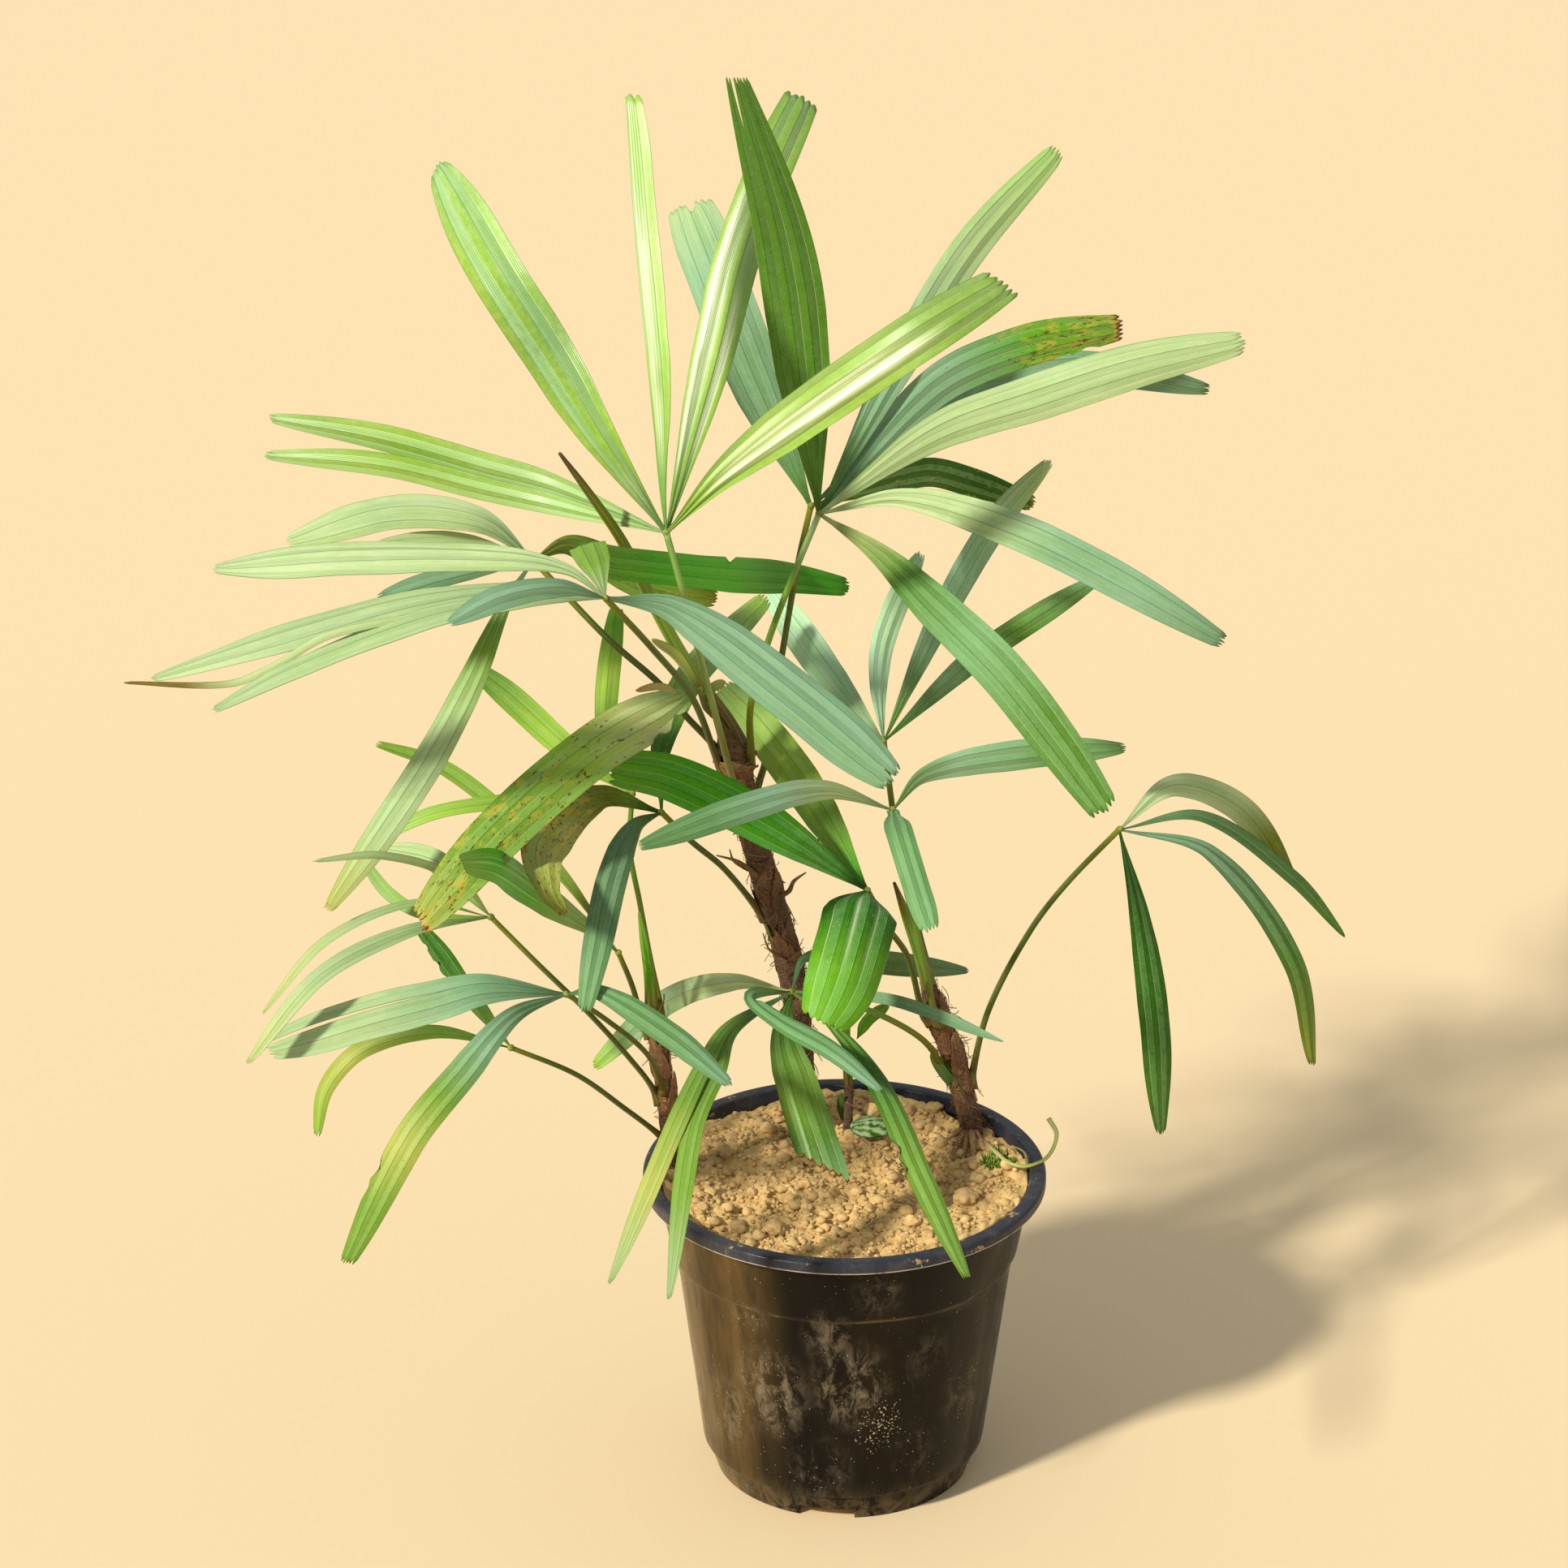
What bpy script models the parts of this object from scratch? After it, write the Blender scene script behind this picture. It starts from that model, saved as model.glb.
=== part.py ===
# A lady palm in a nursery pot: four stems, seventeen fan-shaped fronds, soil and pot.
# Metres, +Z up. The origin is the centre of the pot's flat underside.
# +X is the viewer's right and +Y points away from the viewer.
import math
from collections import namedtuple

import bmesh
import bpy
from mathutils import Vector, noise
from mathutils.bvhtree import BVHTree

# Driving dimensions of the pot
POT_HEIGHT = 0.211
RIM_RADIUS = 0.130
RIM_HEIGHT = 0.0076
RIM_ROUND = 0.002
WALL = 0.0021
INNER_RIM_RADIUS = 0.1200
COLLAR_TOP_RADIUS = 0.1205
COLLAR_FOOT_RADIUS = 0.1125
COLLAR_FOOT = 0.160
COLLAR_STEP = 0.0028
BODY_FOOT_RADIUS = 0.0920
FOOT_TOP = 0.0185
FOOT_STEP = 0.0035
FOOT_RADIUS = 0.0835
FOOT_ROUND = 0.0014
FLOOR = 0.0025
POT_SIDES = 36
DRAIN_COUNT = 4
DRAIN_WIDTH = 0.036
DRAIN_HEIGHT = 0.008
DRAIN_INNER_RADIUS = 0.066
DRAIN_TURN = -8.0
CORNER = 0.003
FOOT_SLOPE = 0.002
CUT_MARGIN = 0.002

# Driving dimensions of the soil
SOIL_TOP = 0.198
SOIL_ROUGHNESS = 0.0035
CLOD_SIZE = 0.022
FLAT_ROUND_STEM = 0.026
SOIL_RINGS = 5

# Driving dimensions of the plant: the crown's depth is drawn out about its middle, in millimetres
CROWN_MIDDLE = 40.0
CROWN_SPREAD = 1.6
GAP = 0.0003
STEM_FLARE = 0.012
STEM_REACH = 0.03
STEM_SIDES = 2
STALK_SIDES = 1
STALK_CLASP = 0.006
HUB_RADIUS = 0.0040
KNUCKLE_RADIUS = 0.0020
BLADE_THICKNESS = 0.0010
BLADE_ROWS = 6
ROW_CROWDING = 1.35
NEARBY = 0.02
SAMPLES = 40

# The viewpoint the pixel places are read from, in a frame of 1932 by 1932 pixels
EYE = Vector((-0.039, -3.08, 1.817))
PITCH = math.radians(23.45)
FOCAL = 6620.0
CENTRE = 966.0
FORWARD = Vector((0.0, math.cos(PITCH), -math.sin(PITCH)))
UPWARD = Vector((0.0, math.sin(PITCH), math.cos(PITCH)))

# A stem's points are (across, down, back, radius): pixels, then millimetres
STEMS = {
    "main_stem": {
        "foot": (990, 66, 9.6),
        "path": (
            (978, 1210, 58, 8.4), (952, 1115, 50, 8.3), (925, 1020, 42, 8.2), (910, 955, 36, 8.8),
            (906, 933, 34, 10.6), (902, 916, 32, 8.6), (893, 888, 28, 5.4), (868, 852, 20, 4.4),
            (838, 805, 8, 4.0), (800, 735, -10, 3.5), (765, 665, -36, 3.0), (720, 600, -52, 2.2),
            (683, 550, -60, 0.7),
        ),
    },
    "right_stem": {
        "foot": (1195, 66, 8.0),
        "path": (
            (1180, 1320, 64, 7.0), (1165, 1275, 60, 6.8), (1152, 1240, 56, 7.4),
            (1144, 1215, 53, 4.8), (1133, 1180, 48, 3.4), (1117, 1130, 40, 3.0), (1100, 1083, 30, 0.7),
        ),
    },
    "left_stem": {
        "foot": (836, 12, 6.0),
        "path": (
            (825, 1390, 12, 5.6), (818, 1330, 12, 5.5), (811, 1285, 10, 5.6), (806, 1255, 9, 5.8),
            (803, 1236, 8, 4.0), (800, 1200, 5, 3.2), (794, 1160, 2, 2.6), (787, 1122, 0, 0.7),
        ),
    },
    "small_stem": {
        "foot": (1045, 72, 3.6),
        "path": ((1046, 1340, 68, 2.9), (1043, 1290, 60, 2.7), (1046, 1245, 55, 0.9)),
    },
}

# A stalk leaves its stem at pixel row `row`, on the side that faces `side` degrees,
# and passes its points (across, down, back) to the hub, which is the last of them
Stalk = namedtuple("Stalk", "stem row side radius path")
STALKS = {
    "a": Stalk("main", 975, 255, 2.3, (
        (893, 925, 10), (868, 830, -20), (843, 735, -54), (821, 657, -50),
    )),
    "b": Stalk("main", 935, 330, 2.2, ((925, 870, 22), (945, 795, 20), (975, 715, 22), (1009, 633, 30))),
    "c": Stalk("main", 942, 205, 2.2, ((853, 860, -20), (800, 795, -70), (746, 737, -100))),
    "d": Stalk("main", 938, 150, 2.2, (
        (845, 882, 16), (812, 842, -6), (745, 783, -20), (657, 690, -20),
    )),
    "e": Stalk("main", 868, 240, 1.9, ((862, 850, -2),)),
    "f": Stalk("right", 1248, 80, 2.2, ((1125, 1120, 70), (1105, 1030, 80), (1089, 914, 80))),
    "g": Stalk("right", 1338, 0, 2.1, (
        (1219, 1242, 60), (1268, 1149, 55), (1312, 1091, 50), (1379, 1022, 45),
    )),
    "h": Stalk("right", 1250, 265, 2.1, ((1130, 1150, 28), (1108, 1060, 10), (1100, 998, 0))),
    "i": Stalk("main", 1122, 190, 2.1, ((890, 1068, 20), (851, 1036, 10), (815, 1001, 0))),
    "j": Stalk("left", 1270, 180, 1.9, ((779, 1215, 0), (762, 1174, -10))),
    "k": Stalk("left", 1262, 55, 1.9, (
        (801, 1180, 20), (788, 1111, 20), (776, 1045, 24), (779, 978, 30),
    )),
    "l": Stalk("right", 1322, 205, 2.1, (
        (1140, 1284, 40), (1100, 1258, 20), (1050, 1238, 0), (975, 1222, -20),
    )),
    "m": Stalk("left", 1352, 195, 1.8, (
        (780, 1309, -20), (726, 1249, -50), (660, 1185, -60), (605, 1130, -60),
    )),
    "n": Stalk("left", 1336, 255, 1.8, ((794, 1295, -30), (745, 1255, -60), (698, 1225, -80))),
    "o": Stalk("left", 1402, 190, 1.8, ((770, 1366, -10), (710, 1324, -20), (630, 1291, -30))),
    "p": Stalk("right", 1250, 205, 2.1, ((1118, 1178, 20), (1092, 1140, 0), (1069, 1097, -20))),
    "r": Stalk("main", 1000, 48, 2.2, (
        (945, 930, 60), (950, 880, 70), (962, 815, 58), (982, 700, 40), (999, 624, 38),
    )),
}

# A leaflet runs from its frond's hub through its points (across, down, back). Its node's name
# starts with its frond's letter, and a leaflet of a bare letter is grown onto the hub and stalk.
# Width in millimetres, then how far its face is turned from the viewer, in degrees.
Leaflet = namedtuple("Leaflet", "node width turn path")
LEAFLETS = (
    Leaflet("a_leaflet_1", 33, 15, ((738, 538, -40), (674, 434, -22), (610, 335, -6), (537, 202, 30))),
    Leaflet("a", 27, 55, ((802, 463, -38), (785, 290, -10), (772, 116, 20))),
    Leaflet("a_leaflet_2", 28, -5, ((882, 424, 15), (906, 325, 42), (946, 214, 76), (990, 118, 110))),
    Leaflet("a_leaflet_3", 30, -8, ((900, 578, -62), (1105, 432, -80), (1245, 345, -70))),
    Leaflet("a_leaflet_4", 19, 15, ((680, 598, -16), (600, 576, -8), (470, 540, 3), (331, 515, 20))),
    Leaflet("a_leaflet_4", 17, 15, ((680, 622, -17), (600, 604, -9), (470, 573, -2), (325, 561, 10))),

    Leaflet("b", 37, 0, ((992, 480, 28), (966, 300, 22), (906, 95, 10))),
    Leaflet("b_leaflet_1", 23, -15, ((1105, 455, 48), (1195, 307, 76), (1305, 184, 100))),
    Leaflet("b_leaflet_2", 27, -15, ((1150, 480, 52), (1260, 428, 66), (1384, 403, 80))),
    Leaflet("b_leaflet_3", 29, -10, ((1152, 535, 20), (1279, 490, 10), (1405, 450, 2), (1535, 421, -5))),
    Leaflet("b_leaflet_4", 23, -10, (
        (1110, 614, 18), (1250, 654, -12), (1370, 712, -25), (1509, 792, -35),
    )),
    Leaflet("b_leaflet_5", 29, 10, (
        (1080, 680, 14), (1152, 748, -12), (1232, 826, -36), (1300, 912, -58), (1364, 1002, -80),
    )),

    Leaflet("r", 37, 10, ((921, 444, 82), (870, 310, 112), (846, 249, 132))),
    Leaflet("r_leaflet_1", 23, -10, ((1152, 501, 82), (1321, 455, 96), (1491, 480, 108))),
    Leaflet("r_leaflet_1", 19, -10, ((1136, 583, 90), (1195, 594, 112), (1275, 622, 130))),

    Leaflet("c", 30, -50, ((700, 702, -93), (620, 687, -90), (420, 686, -86), (262, 700, -80))),
    Leaflet("c_leaflet_1", 24, -55, (
        (700, 722, -100), (523, 737, -112), (357, 781, -118), (186, 836, -120),
    )),
    Leaflet("c_leaflet_2", 19, -50, (
        (640, 742, -114), (523, 762, -125), (357, 826, -135), (262, 875, -140),
    )),
    Leaflet("c_leaflet_2", 6, 0, (
        (600, 745, -115), (420, 778, -128), (274, 844, -128), (152, 841, -122),
    )),
    Leaflet("c_leaflet_2", 15, -20, ((690, 724, -122), (620, 735, -150), (553, 768, -180))),
    Leaflet("c_leaflet_3", 32, 10, ((830, 751, -100), (970, 852, -106), (1102, 962, -112))),
    Leaflet("c_leaflet_4", 22, 0, (
        (762, 694, -80), (838, 702, -34), (900, 708, 6), (980, 713, 62), (1047, 724, 78),
    )),

    Leaflet("d", 23, -10, ((590, 640, -27), (480, 630, -34), (352, 668, -44))),
    Leaflet("d", 13, -10, ((560, 668, -30), (460, 672, -44))),
    Leaflet("d", 12, -10, ((565, 706, -30), (465, 736, -48))),
    Leaflet("d_leaflet_1", 20, -15, (
        (625, 740, -30), (575, 850, -46), (520, 950, -60), (403, 1122, -82),
    )),
    Leaflet("d_leaflet_2", 20, 0, ((705, 672, -2), (790, 717, 12), (884, 738, 26))),

    Leaflet("e", 33, -15, ((835, 862, -12), (730, 925, -45), (610, 1030, -85), (513, 1143, -115))),

    Leaflet("f_leaflet_1", 22, 10, ((1020, 830, 94), (947, 727, 125))),
    Leaflet("f", 17, -25, ((1083, 843, 90), (1092, 780, 108), (1135, 680, 122))),
    Leaflet("f_leaflet_2", 18, -10, ((1160, 760, 94), (1228, 644, 100), (1295, 566, 94))),
    Leaflet("f_leaflet_2", 16, -10, ((1187, 823, 80), (1250, 778, 78), (1353, 713, 76))),

    Leaflet("g_leaflet_1", 21, 25, ((1405, 1130, 40), (1424, 1260, 38), (1431, 1398, 40))),
    Leaflet("g_leaflet_2", 18, 40, ((1491, 1050, 45), (1594, 1184, 45), (1618, 1314, 45))),
    Leaflet("g_leaflet_2", 10, 20, ((1482, 1006, 60), (1594, 1082, 65), (1658, 1155, 65))),
    Leaflet("g", 18, 10, ((1446, 968, 68), (1528, 996, 76), (1594, 1084, 78))),

    Leaflet("h_leaflet_1", 18, -15, ((1019, 973, -20), (923, 993, -60), (787, 1043, -100))),
    Leaflet("h", 17, 0, ((1110, 1030, -30), (1130, 1095, -48), (1147, 1148, -60))),
    Leaflet("h_leaflet_2", 20, -25, ((1140, 955, 14), (1250, 932, 30), (1388, 922, 40))),

    Leaflet("i", 24, 10, ((745, 982, -5), (675, 1040, -62), (680, 1100, -95), (695, 1128, -105))),
    Leaflet("i_leaflet_1", 20, 10, ((815, 920, 26), (850, 835, 56), (945, 735, 90))),
    Leaflet("i_leaflet_2", 19, 0, (
        (781, 1020, -24), (755, 1080, -60), (735, 1170, -86), (720, 1248, -100),
    )),

    Leaflet("j", 11, 20, ((695, 1081, 8), (612, 995, 34), (539, 942, 44), (463, 916, 46))),
    Leaflet("j_leaflet_1", 18, 10, (
        (738, 1151, -18), (655, 1095, -64), (612, 1068, -104), (568, 1064, -142),
    )),

    Leaflet("k", 15, 10, ((750, 915, 32), (747, 860, 36), (760, 745, 42))),
    Leaflet("k_leaflet_1", 18, 10, ((706, 929, 40), (628, 859, 54), (578, 818, 62))),
    Leaflet("k_leaflet_2", 12, -45, ((738, 972, 20), (632, 985, 6), (529, 1002, 0), (440, 1048, 0))),

    Leaflet("l", 17, -15, ((905, 1210, 2), (820, 1235, 36), (731, 1315, 48))),
    Leaflet("l_leaflet_1", 16, 10, (
        (990, 1182, 0), (1040, 1180, 32), (1100, 1187, 70), (1194, 1196, 110),
    )),
    Leaflet("l", 8, 10, ((1059, 1226, -22), (1120, 1238, -28), (1237, 1284, -32))),
    Leaflet("l_leaflet_2", 16, 20, (
        (928, 1229, -44), (960, 1256, -56), (1026, 1294, -74), (1086, 1344, -92),
    )),
    Leaflet("l_leaflet_3", 14, -10, (
        (900, 1262, -33), (868, 1310, -58), (832, 1385, -90), (750, 1583, -122),
    )),
    Leaflet("l_leaflet_3", 14, -10, (
        (906, 1268, -34), (884, 1318, -60), (852, 1395, -94), (824, 1601, -142),
    )),
    Leaflet("l_leaflet_4", 28, 10, ((966, 1275, -24), (984, 1340, -36), (1024, 1464, -58))),
    Leaflet("l_leaflet_5", 17, 10, (
        (1013, 1250, -28), (1080, 1331, -60), (1135, 1450, -104), (1192, 1575, -140),
    )),

    Leaflet("m", 14, 0, ((570, 1092, -56), (535, 1060, -46), (470, 1045, -36))),
    Leaflet("m", 5, 0, ((560, 1080, -84), (471, 1054, -104), (385, 1061, -116))),
    Leaflet("m_leaflet_1", 12, 30, ((503, 1147, -80), (392, 1204, -105), (304, 1311, -122))),
    Leaflet("m_leaflet_1", 6, 20, ((513, 1112, -66), (401, 1159, -82), (323, 1249, -92))),
    Leaflet("m_leaflet_1", 8, 0, ((530, 1128, -58), (478, 1100, -44), (438, 1045, -34))),

    Leaflet("n", 20, 10, ((600, 1226, -92), (530, 1244, -98), (450, 1264, -102), (325, 1303, -106))),
    Leaflet("n", 9, 10, ((600, 1214, -92), (530, 1228, -98), (450, 1243, -101), (344, 1265, -103))),
    Leaflet("n_leaflet_1", 20, -10, (
        (631, 1252, -104), (568, 1324, -126), (504, 1404, -140), (426, 1558, -150),
    )),
    Leaflet("n_leaflet_2", 17, 10, ((739, 1222, -92), (828, 1276, -99), (902, 1338, -106))),

    Leaflet("o", 11, -10, ((535, 1271, -42), (446, 1293, -56), (402, 1340, -60), (390, 1400, -60))),
    Leaflet("o_leaflet_1", 14, 0, ((575, 1222, -25), (540, 1172, -20), (515, 1140, -16))),

    Leaflet("p", 26, 10, ((990, 970, 30), (930, 890, 54), (888, 845, 58))),
    Leaflet("p", 28, 10, ((950, 1020, -12), (830, 960, -18), (752, 945, -26))),
    Leaflet("p_leaflet_1", 44, 0, ((1053, 1142, -46), (1036, 1212, -66), (1014, 1262, -76))),
)

# A leaflet's outline: share of its length, then share of its width
OUTLINE = (
    (0.00, 0.045), (0.04, 0.08), (0.08, 0.18), (0.16, 0.42), (0.26, 0.70), (0.38, 0.90),
    (0.55, 1.00), (0.76, 0.97), (0.90, 0.78), (0.97, 0.50), (1.00, 0.24),
)

LEAF_GREENS = {
    "a": (0.34, 0.50, 0.09), "b": (0.12, 0.25, 0.10), "c": (0.26, 0.42, 0.26), "d": (0.22, 0.36, 0.18),
    "e": (0.30, 0.36, 0.09), "f": (0.14, 0.30, 0.14), "g": (0.14, 0.28, 0.10), "h": (0.16, 0.32, 0.18),
    "i": (0.20, 0.28, 0.10), "j": (0.12, 0.32, 0.05), "k": (0.18, 0.38, 0.07), "l": (0.16, 0.30, 0.13),
    "m": (0.24, 0.36, 0.12), "n": (0.16, 0.30, 0.16), "o": (0.24, 0.34, 0.10), "p": (0.10, 0.34, 0.03),
    "r": (0.12, 0.24, 0.16),
}
LEAF_ROUGHNESS = 0.42
STEM_BROWNS = {
    "main_stem": (0.10, 0.055, 0.03), "right_stem": (0.13, 0.08, 0.05),
    "left_stem": (0.16, 0.07, 0.04), "small_stem": (0.14, 0.12, 0.05),
}


def clear_scene():
    for item in list(bpy.data.objects):
        bpy.data.objects.remove(item, do_unlink=True)


def new_collection(name):
    group = bpy.data.collections.new(name)
    bpy.context.scene.collection.children.link(group)
    return group


def make_material(name, colour, roughness, metallic=0.0):
    material = bpy.data.materials.new(name)
    material.use_nodes = True
    shader = material.node_tree.nodes["Principled BSDF"]
    shader.inputs["Base Color"].default_value = (*colour, 1.0)
    shader.inputs["Roughness"].default_value = roughness
    shader.inputs["Metallic"].default_value = metallic
    return material


def depth_of(point):
    """Distance from the eye to a point, along the line of sight."""
    return (point - EYE).dot(FORWARD)


def seen_at(across, down, back):
    """The point on a pixel's line of sight at the depth `back`, drawn out about the crown's middle."""
    depth = CROWN_MIDDLE + (back - CROWN_MIDDLE) * CROWN_SPREAD
    right = (across - CENTRE) / FOCAL
    below = (down - CENTRE) / FOCAL
    ray = FORWARD - UPWARD * below + Vector((right, 0.0, 0.0))
    return EYE + ray * ((depth / 1000.0 - EYE.y) / ray.y)


def pixel_row(point):
    return CENTRE - FOCAL * (point - EYE).dot(UPWARD) / depth_of(point)


def soil_point(across, back):
    """The point just over the soil in a pixel column, `back` millimetres behind the axis."""
    point = Vector((0.0, back / 1000.0, SOIL_TOP + GAP))
    point.x = EYE.x + (across - CENTRE) / FOCAL * depth_of(point)
    return point


def curve_through(knots, count):
    """Evenly spaced points on a smooth curve through the knots, four numbers each."""
    knots = [Vector(knot) for knot in knots]
    if len(knots) == 2:
        return [knots[0].lerp(knots[1], i / count) for i in range(count + 1)]
    ends = [2 * knots[0] - knots[1]] + knots + [2 * knots[-1] - knots[-2]]
    fine = []
    for before, start, stop, after in zip(ends, ends[1:], ends[2:], ends[3:]):
        reach = (stop - start).length
        lead = (stop - before) * reach / ((start - before).length + reach)
        trail = (after - start) * reach / ((after - stop).length + reach)
        for i in range(SAMPLES):
            t = i / SAMPLES
            fine.append(
                start * (2 * t**3 - 3 * t**2 + 1) + lead * (t**3 - 2 * t**2 + t)
                + stop * (3 * t**2 - 2 * t**3) + trail * (t**3 - t**2)
            )
    fine.append(knots[-1])
    lengths = [0.0]
    for start, stop in zip(fine, fine[1:]):
        lengths.append(lengths[-1] + (stop.to_3d() - start.to_3d()).length)
    return [point_at(fine, lengths, i / count) for i in range(count + 1)]


def point_at(points, lengths, share):
    """The point a given share of the way along a line of points."""
    wanted = share * lengths[-1]
    last = len(points) - 2
    i = next((k for k in range(last) if lengths[k + 1] >= wanted), last)
    part = (wanted - lengths[i]) / max(lengths[i + 1] - lengths[i], 1e-9)
    return points[i].lerp(points[i + 1], min(max(part, 0.0), 1.0))


def between(table, x):
    """Reads a table of (x, y) rows at x, with straight lines between the rows."""
    for (x0, y0), (x1, y1) in zip(table, table[1:]):
        if x <= x1:
            return y0 + (y1 - y0) * (x - x0) / (x1 - x0)
    return table[-1][1]


def link(item, material, group):
    item.data.materials.append(material)
    group.objects.link(item)


def as_mesh(curve):
    """Turns a curve object into a mesh object with its caps welded on."""
    bpy.context.scene.collection.objects.link(curve)
    evaluated = curve.evaluated_get(bpy.context.evaluated_depsgraph_get())
    mesh = bpy.data.meshes.new_from_object(evaluated)
    item = bpy.data.objects.new(curve.name + "_mesh", mesh)
    item.matrix_world = curve.matrix_world
    bpy.data.objects.remove(curve, do_unlink=True)
    shape = bmesh.new()
    shape.from_mesh(mesh)
    bmesh.ops.remove_doubles(shape, verts=shape.verts, dist=0.00001)
    shape.to_mesh(mesh)
    shape.free()
    return item


def make_tube(name, points, sides):
    """A tube along points of four numbers, the last of which is the radius."""
    data = bpy.data.curves.new(name, "CURVE")
    data.dimensions = "3D"
    data.bevel_depth = 1.0
    data.bevel_resolution = sides
    data.use_fill_caps = True
    spline = data.splines.new("POLY")
    spline.points.add(len(points) - 1)
    for knot, point in zip(spline.points, points):
        knot.co = (*point.to_3d(), 1.0)
        knot.radius = point[3]
    return as_mesh(bpy.data.objects.new(name, data))


def stem_line(name):
    """Points along a stem from the soil to the tip of its unopened leaf."""
    stem = STEMS[name]
    across, back, radius = stem["foot"]
    foot = soil_point(across, back)
    knots = [(*foot, radius / 1000.0)]
    knots.append((*(foot + Vector((0.0, 0.0, STEM_FLARE))), stem["path"][0][3] / 1000.0))
    for across, down, back, radius in stem["path"]:
        knots.append((*seen_at(across, down, back), radius / 1000.0))
    return knots


def make_stem(name):
    knots = [Vector(knot) for knot in stem_line(name)]
    line = knots[:1] + curve_through(knots[1:], 2 * len(knots))
    stem = level_foot(make_tube(name, line, STEM_SIDES), SOIL_TOP + GAP)
    stem.name = name
    return stem


def level_foot(item, height):
    """Lays the cut end of a stem flat at the given height."""
    low = min(vertex.co.z for vertex in item.data.vertices)
    for vertex in item.data.vertices:
        if vertex.co.z < low + STEM_FLARE / 3.0:
            vertex.co.z = height
    return item


def bark_point(stem, middle, side):
    """The point on a stem's surface that faces to one side of a point in its middle."""
    mesh = bpy.data.objects[stem].data
    faces = [face.vertices for face in mesh.polygons]
    bark = BVHTree.FromPolygons([vertex.co for vertex in mesh.vertices], faces)
    return bark.ray_cast(middle + side * STEM_REACH, -side)[0]


def stalk_line(frond):
    """Points along a stalk, from where it clasps its stem to its hub."""
    stalk = STALKS[frond]
    stem = stalk.stem + "_stem"
    radius = stalk.radius / 1000.0
    line = [point.to_3d() for point in curve_through(stem_line(stem), 10 * SAMPLES)]
    nearest = min(range(len(line)), key=lambda i: abs(pixel_row(line[i]) - stalk.row))
    along = (line[nearest + 4] - line[nearest - 4]).normalized()
    side = Vector((math.cos(math.radians(stalk.side)), math.sin(math.radians(stalk.side)), 0.0))
    side = (side - along * side.dot(along)).normalized()
    root = bark_point(stem, line[nearest], side) + side * (radius + GAP)
    knots = [root, root + along * STALK_CLASP + side * GAP]
    knots += [seen_at(*point) for point in stalk.path]
    return [(*knot, radius) for knot in knots]


def frond_of(node):
    """The letter of the frond that a leaflet's node belongs to."""
    return node[0]


def hub_of(frond):
    return seen_at(*STALKS[frond].path[-1])


def make_stalk(frond):
    """A thin round stalk that ends in a small ball, the hub."""
    knots = stalk_line(frond)
    line = [Vector(knots[0])] + curve_through(knots[1:], 2 + len(knots))
    heading = (line[-1] - line[-2]).to_3d().normalized()
    hub = line[-1].to_3d()
    line = [point for point in line if (point.to_3d() - hub).length > HUB_RADIUS * 1.3]
    for degrees in (-50, -8, 34, 72):
        angle = math.radians(degrees)
        point = hub + heading * HUB_RADIUS * math.sin(angle)
        line.append(Vector((*point, HUB_RADIUS * math.cos(angle))))
    return make_tube("stalk_" + frond, line, STALK_SIDES)


def leaflets_of(node):
    return [leaflet for leaflet in LEAFLETS if leaflet.node == node]


def heading_of(leaflet):
    """The direction in which a leaflet leaves its hub."""
    return (seen_at(*leaflet.path[0]) - hub_of(frond_of(leaflet.node))).normalized()


def knuckle_place(node):
    """The middle of the small ball beside the hub that holds a group of leaflets."""
    heading = sum((heading_of(leaflet) for leaflet in leaflets_of(node)), Vector())
    return hub_of(frond_of(node)) + heading.normalized() * (HUB_RADIUS + KNUCKLE_RADIUS)


def root_of(leaflet):
    """Where a leaflet starts: inside its hub, in its group's knuckle, or just clear of the hub."""
    hub = hub_of(frond_of(leaflet.node))
    if leaflet.node == frond_of(leaflet.node):
        return hub.lerp(hub + heading_of(leaflet), HUB_RADIUS * 0.3)
    if len(leaflets_of(leaflet.node)) > 1:
        return knuckle_place(leaflet.node)
    return hub + heading_of(leaflet) * (HUB_RADIUS + GAP)


def blade_line(leaflet):
    """Points along the middle of a leaflet, from its root to its tip."""
    knots = [root_of(leaflet)] + [seen_at(*point) for point in leaflet.path]
    return [point.to_3d() for point in curve_through([(*knot, 0.0) for knot in knots], SAMPLES)]


def make_blade(leaflet):
    """A thin blade bent along its line: narrow at the hub, broad, with a blunt tip."""
    line = blade_line(leaflet)
    lengths = [i / SAMPLES for i in range(SAMPLES + 1)]
    shape = bmesh.new()
    bmesh.ops.create_grid(shape, x_segments=1, y_segments=BLADE_ROWS, size=0.5)
    turn = math.radians(leaflet.turn)
    for vertex in shape.verts:
        share = (vertex.co.y + 0.5) ** ROW_CROWDING
        middle = point_at(line, lengths, share)
        ahead = point_at(line, lengths, min(share + NEARBY, 1.0))
        behind = point_at(line, lengths, max(share - NEARBY, 0.0))
        along = (ahead - behind).normalized()
        across = along.cross(middle - EYE).normalized()
        facing = across.cross(along)
        across = across * math.cos(turn) + facing * math.sin(turn)
        reach = vertex.co.x * between(OUTLINE, share) * leaflet.width / 1000.0
        vertex.co = middle + across * reach
    mesh = bpy.data.meshes.new(leaflet.node)
    shape.to_mesh(mesh)
    shape.free()
    blade = bpy.data.objects.new("blade", mesh)
    solid = blade.modifiers.new("thickness", "SOLIDIFY")
    solid.thickness = BLADE_THICKNESS
    solid.offset = 0.0
    return blade


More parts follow.
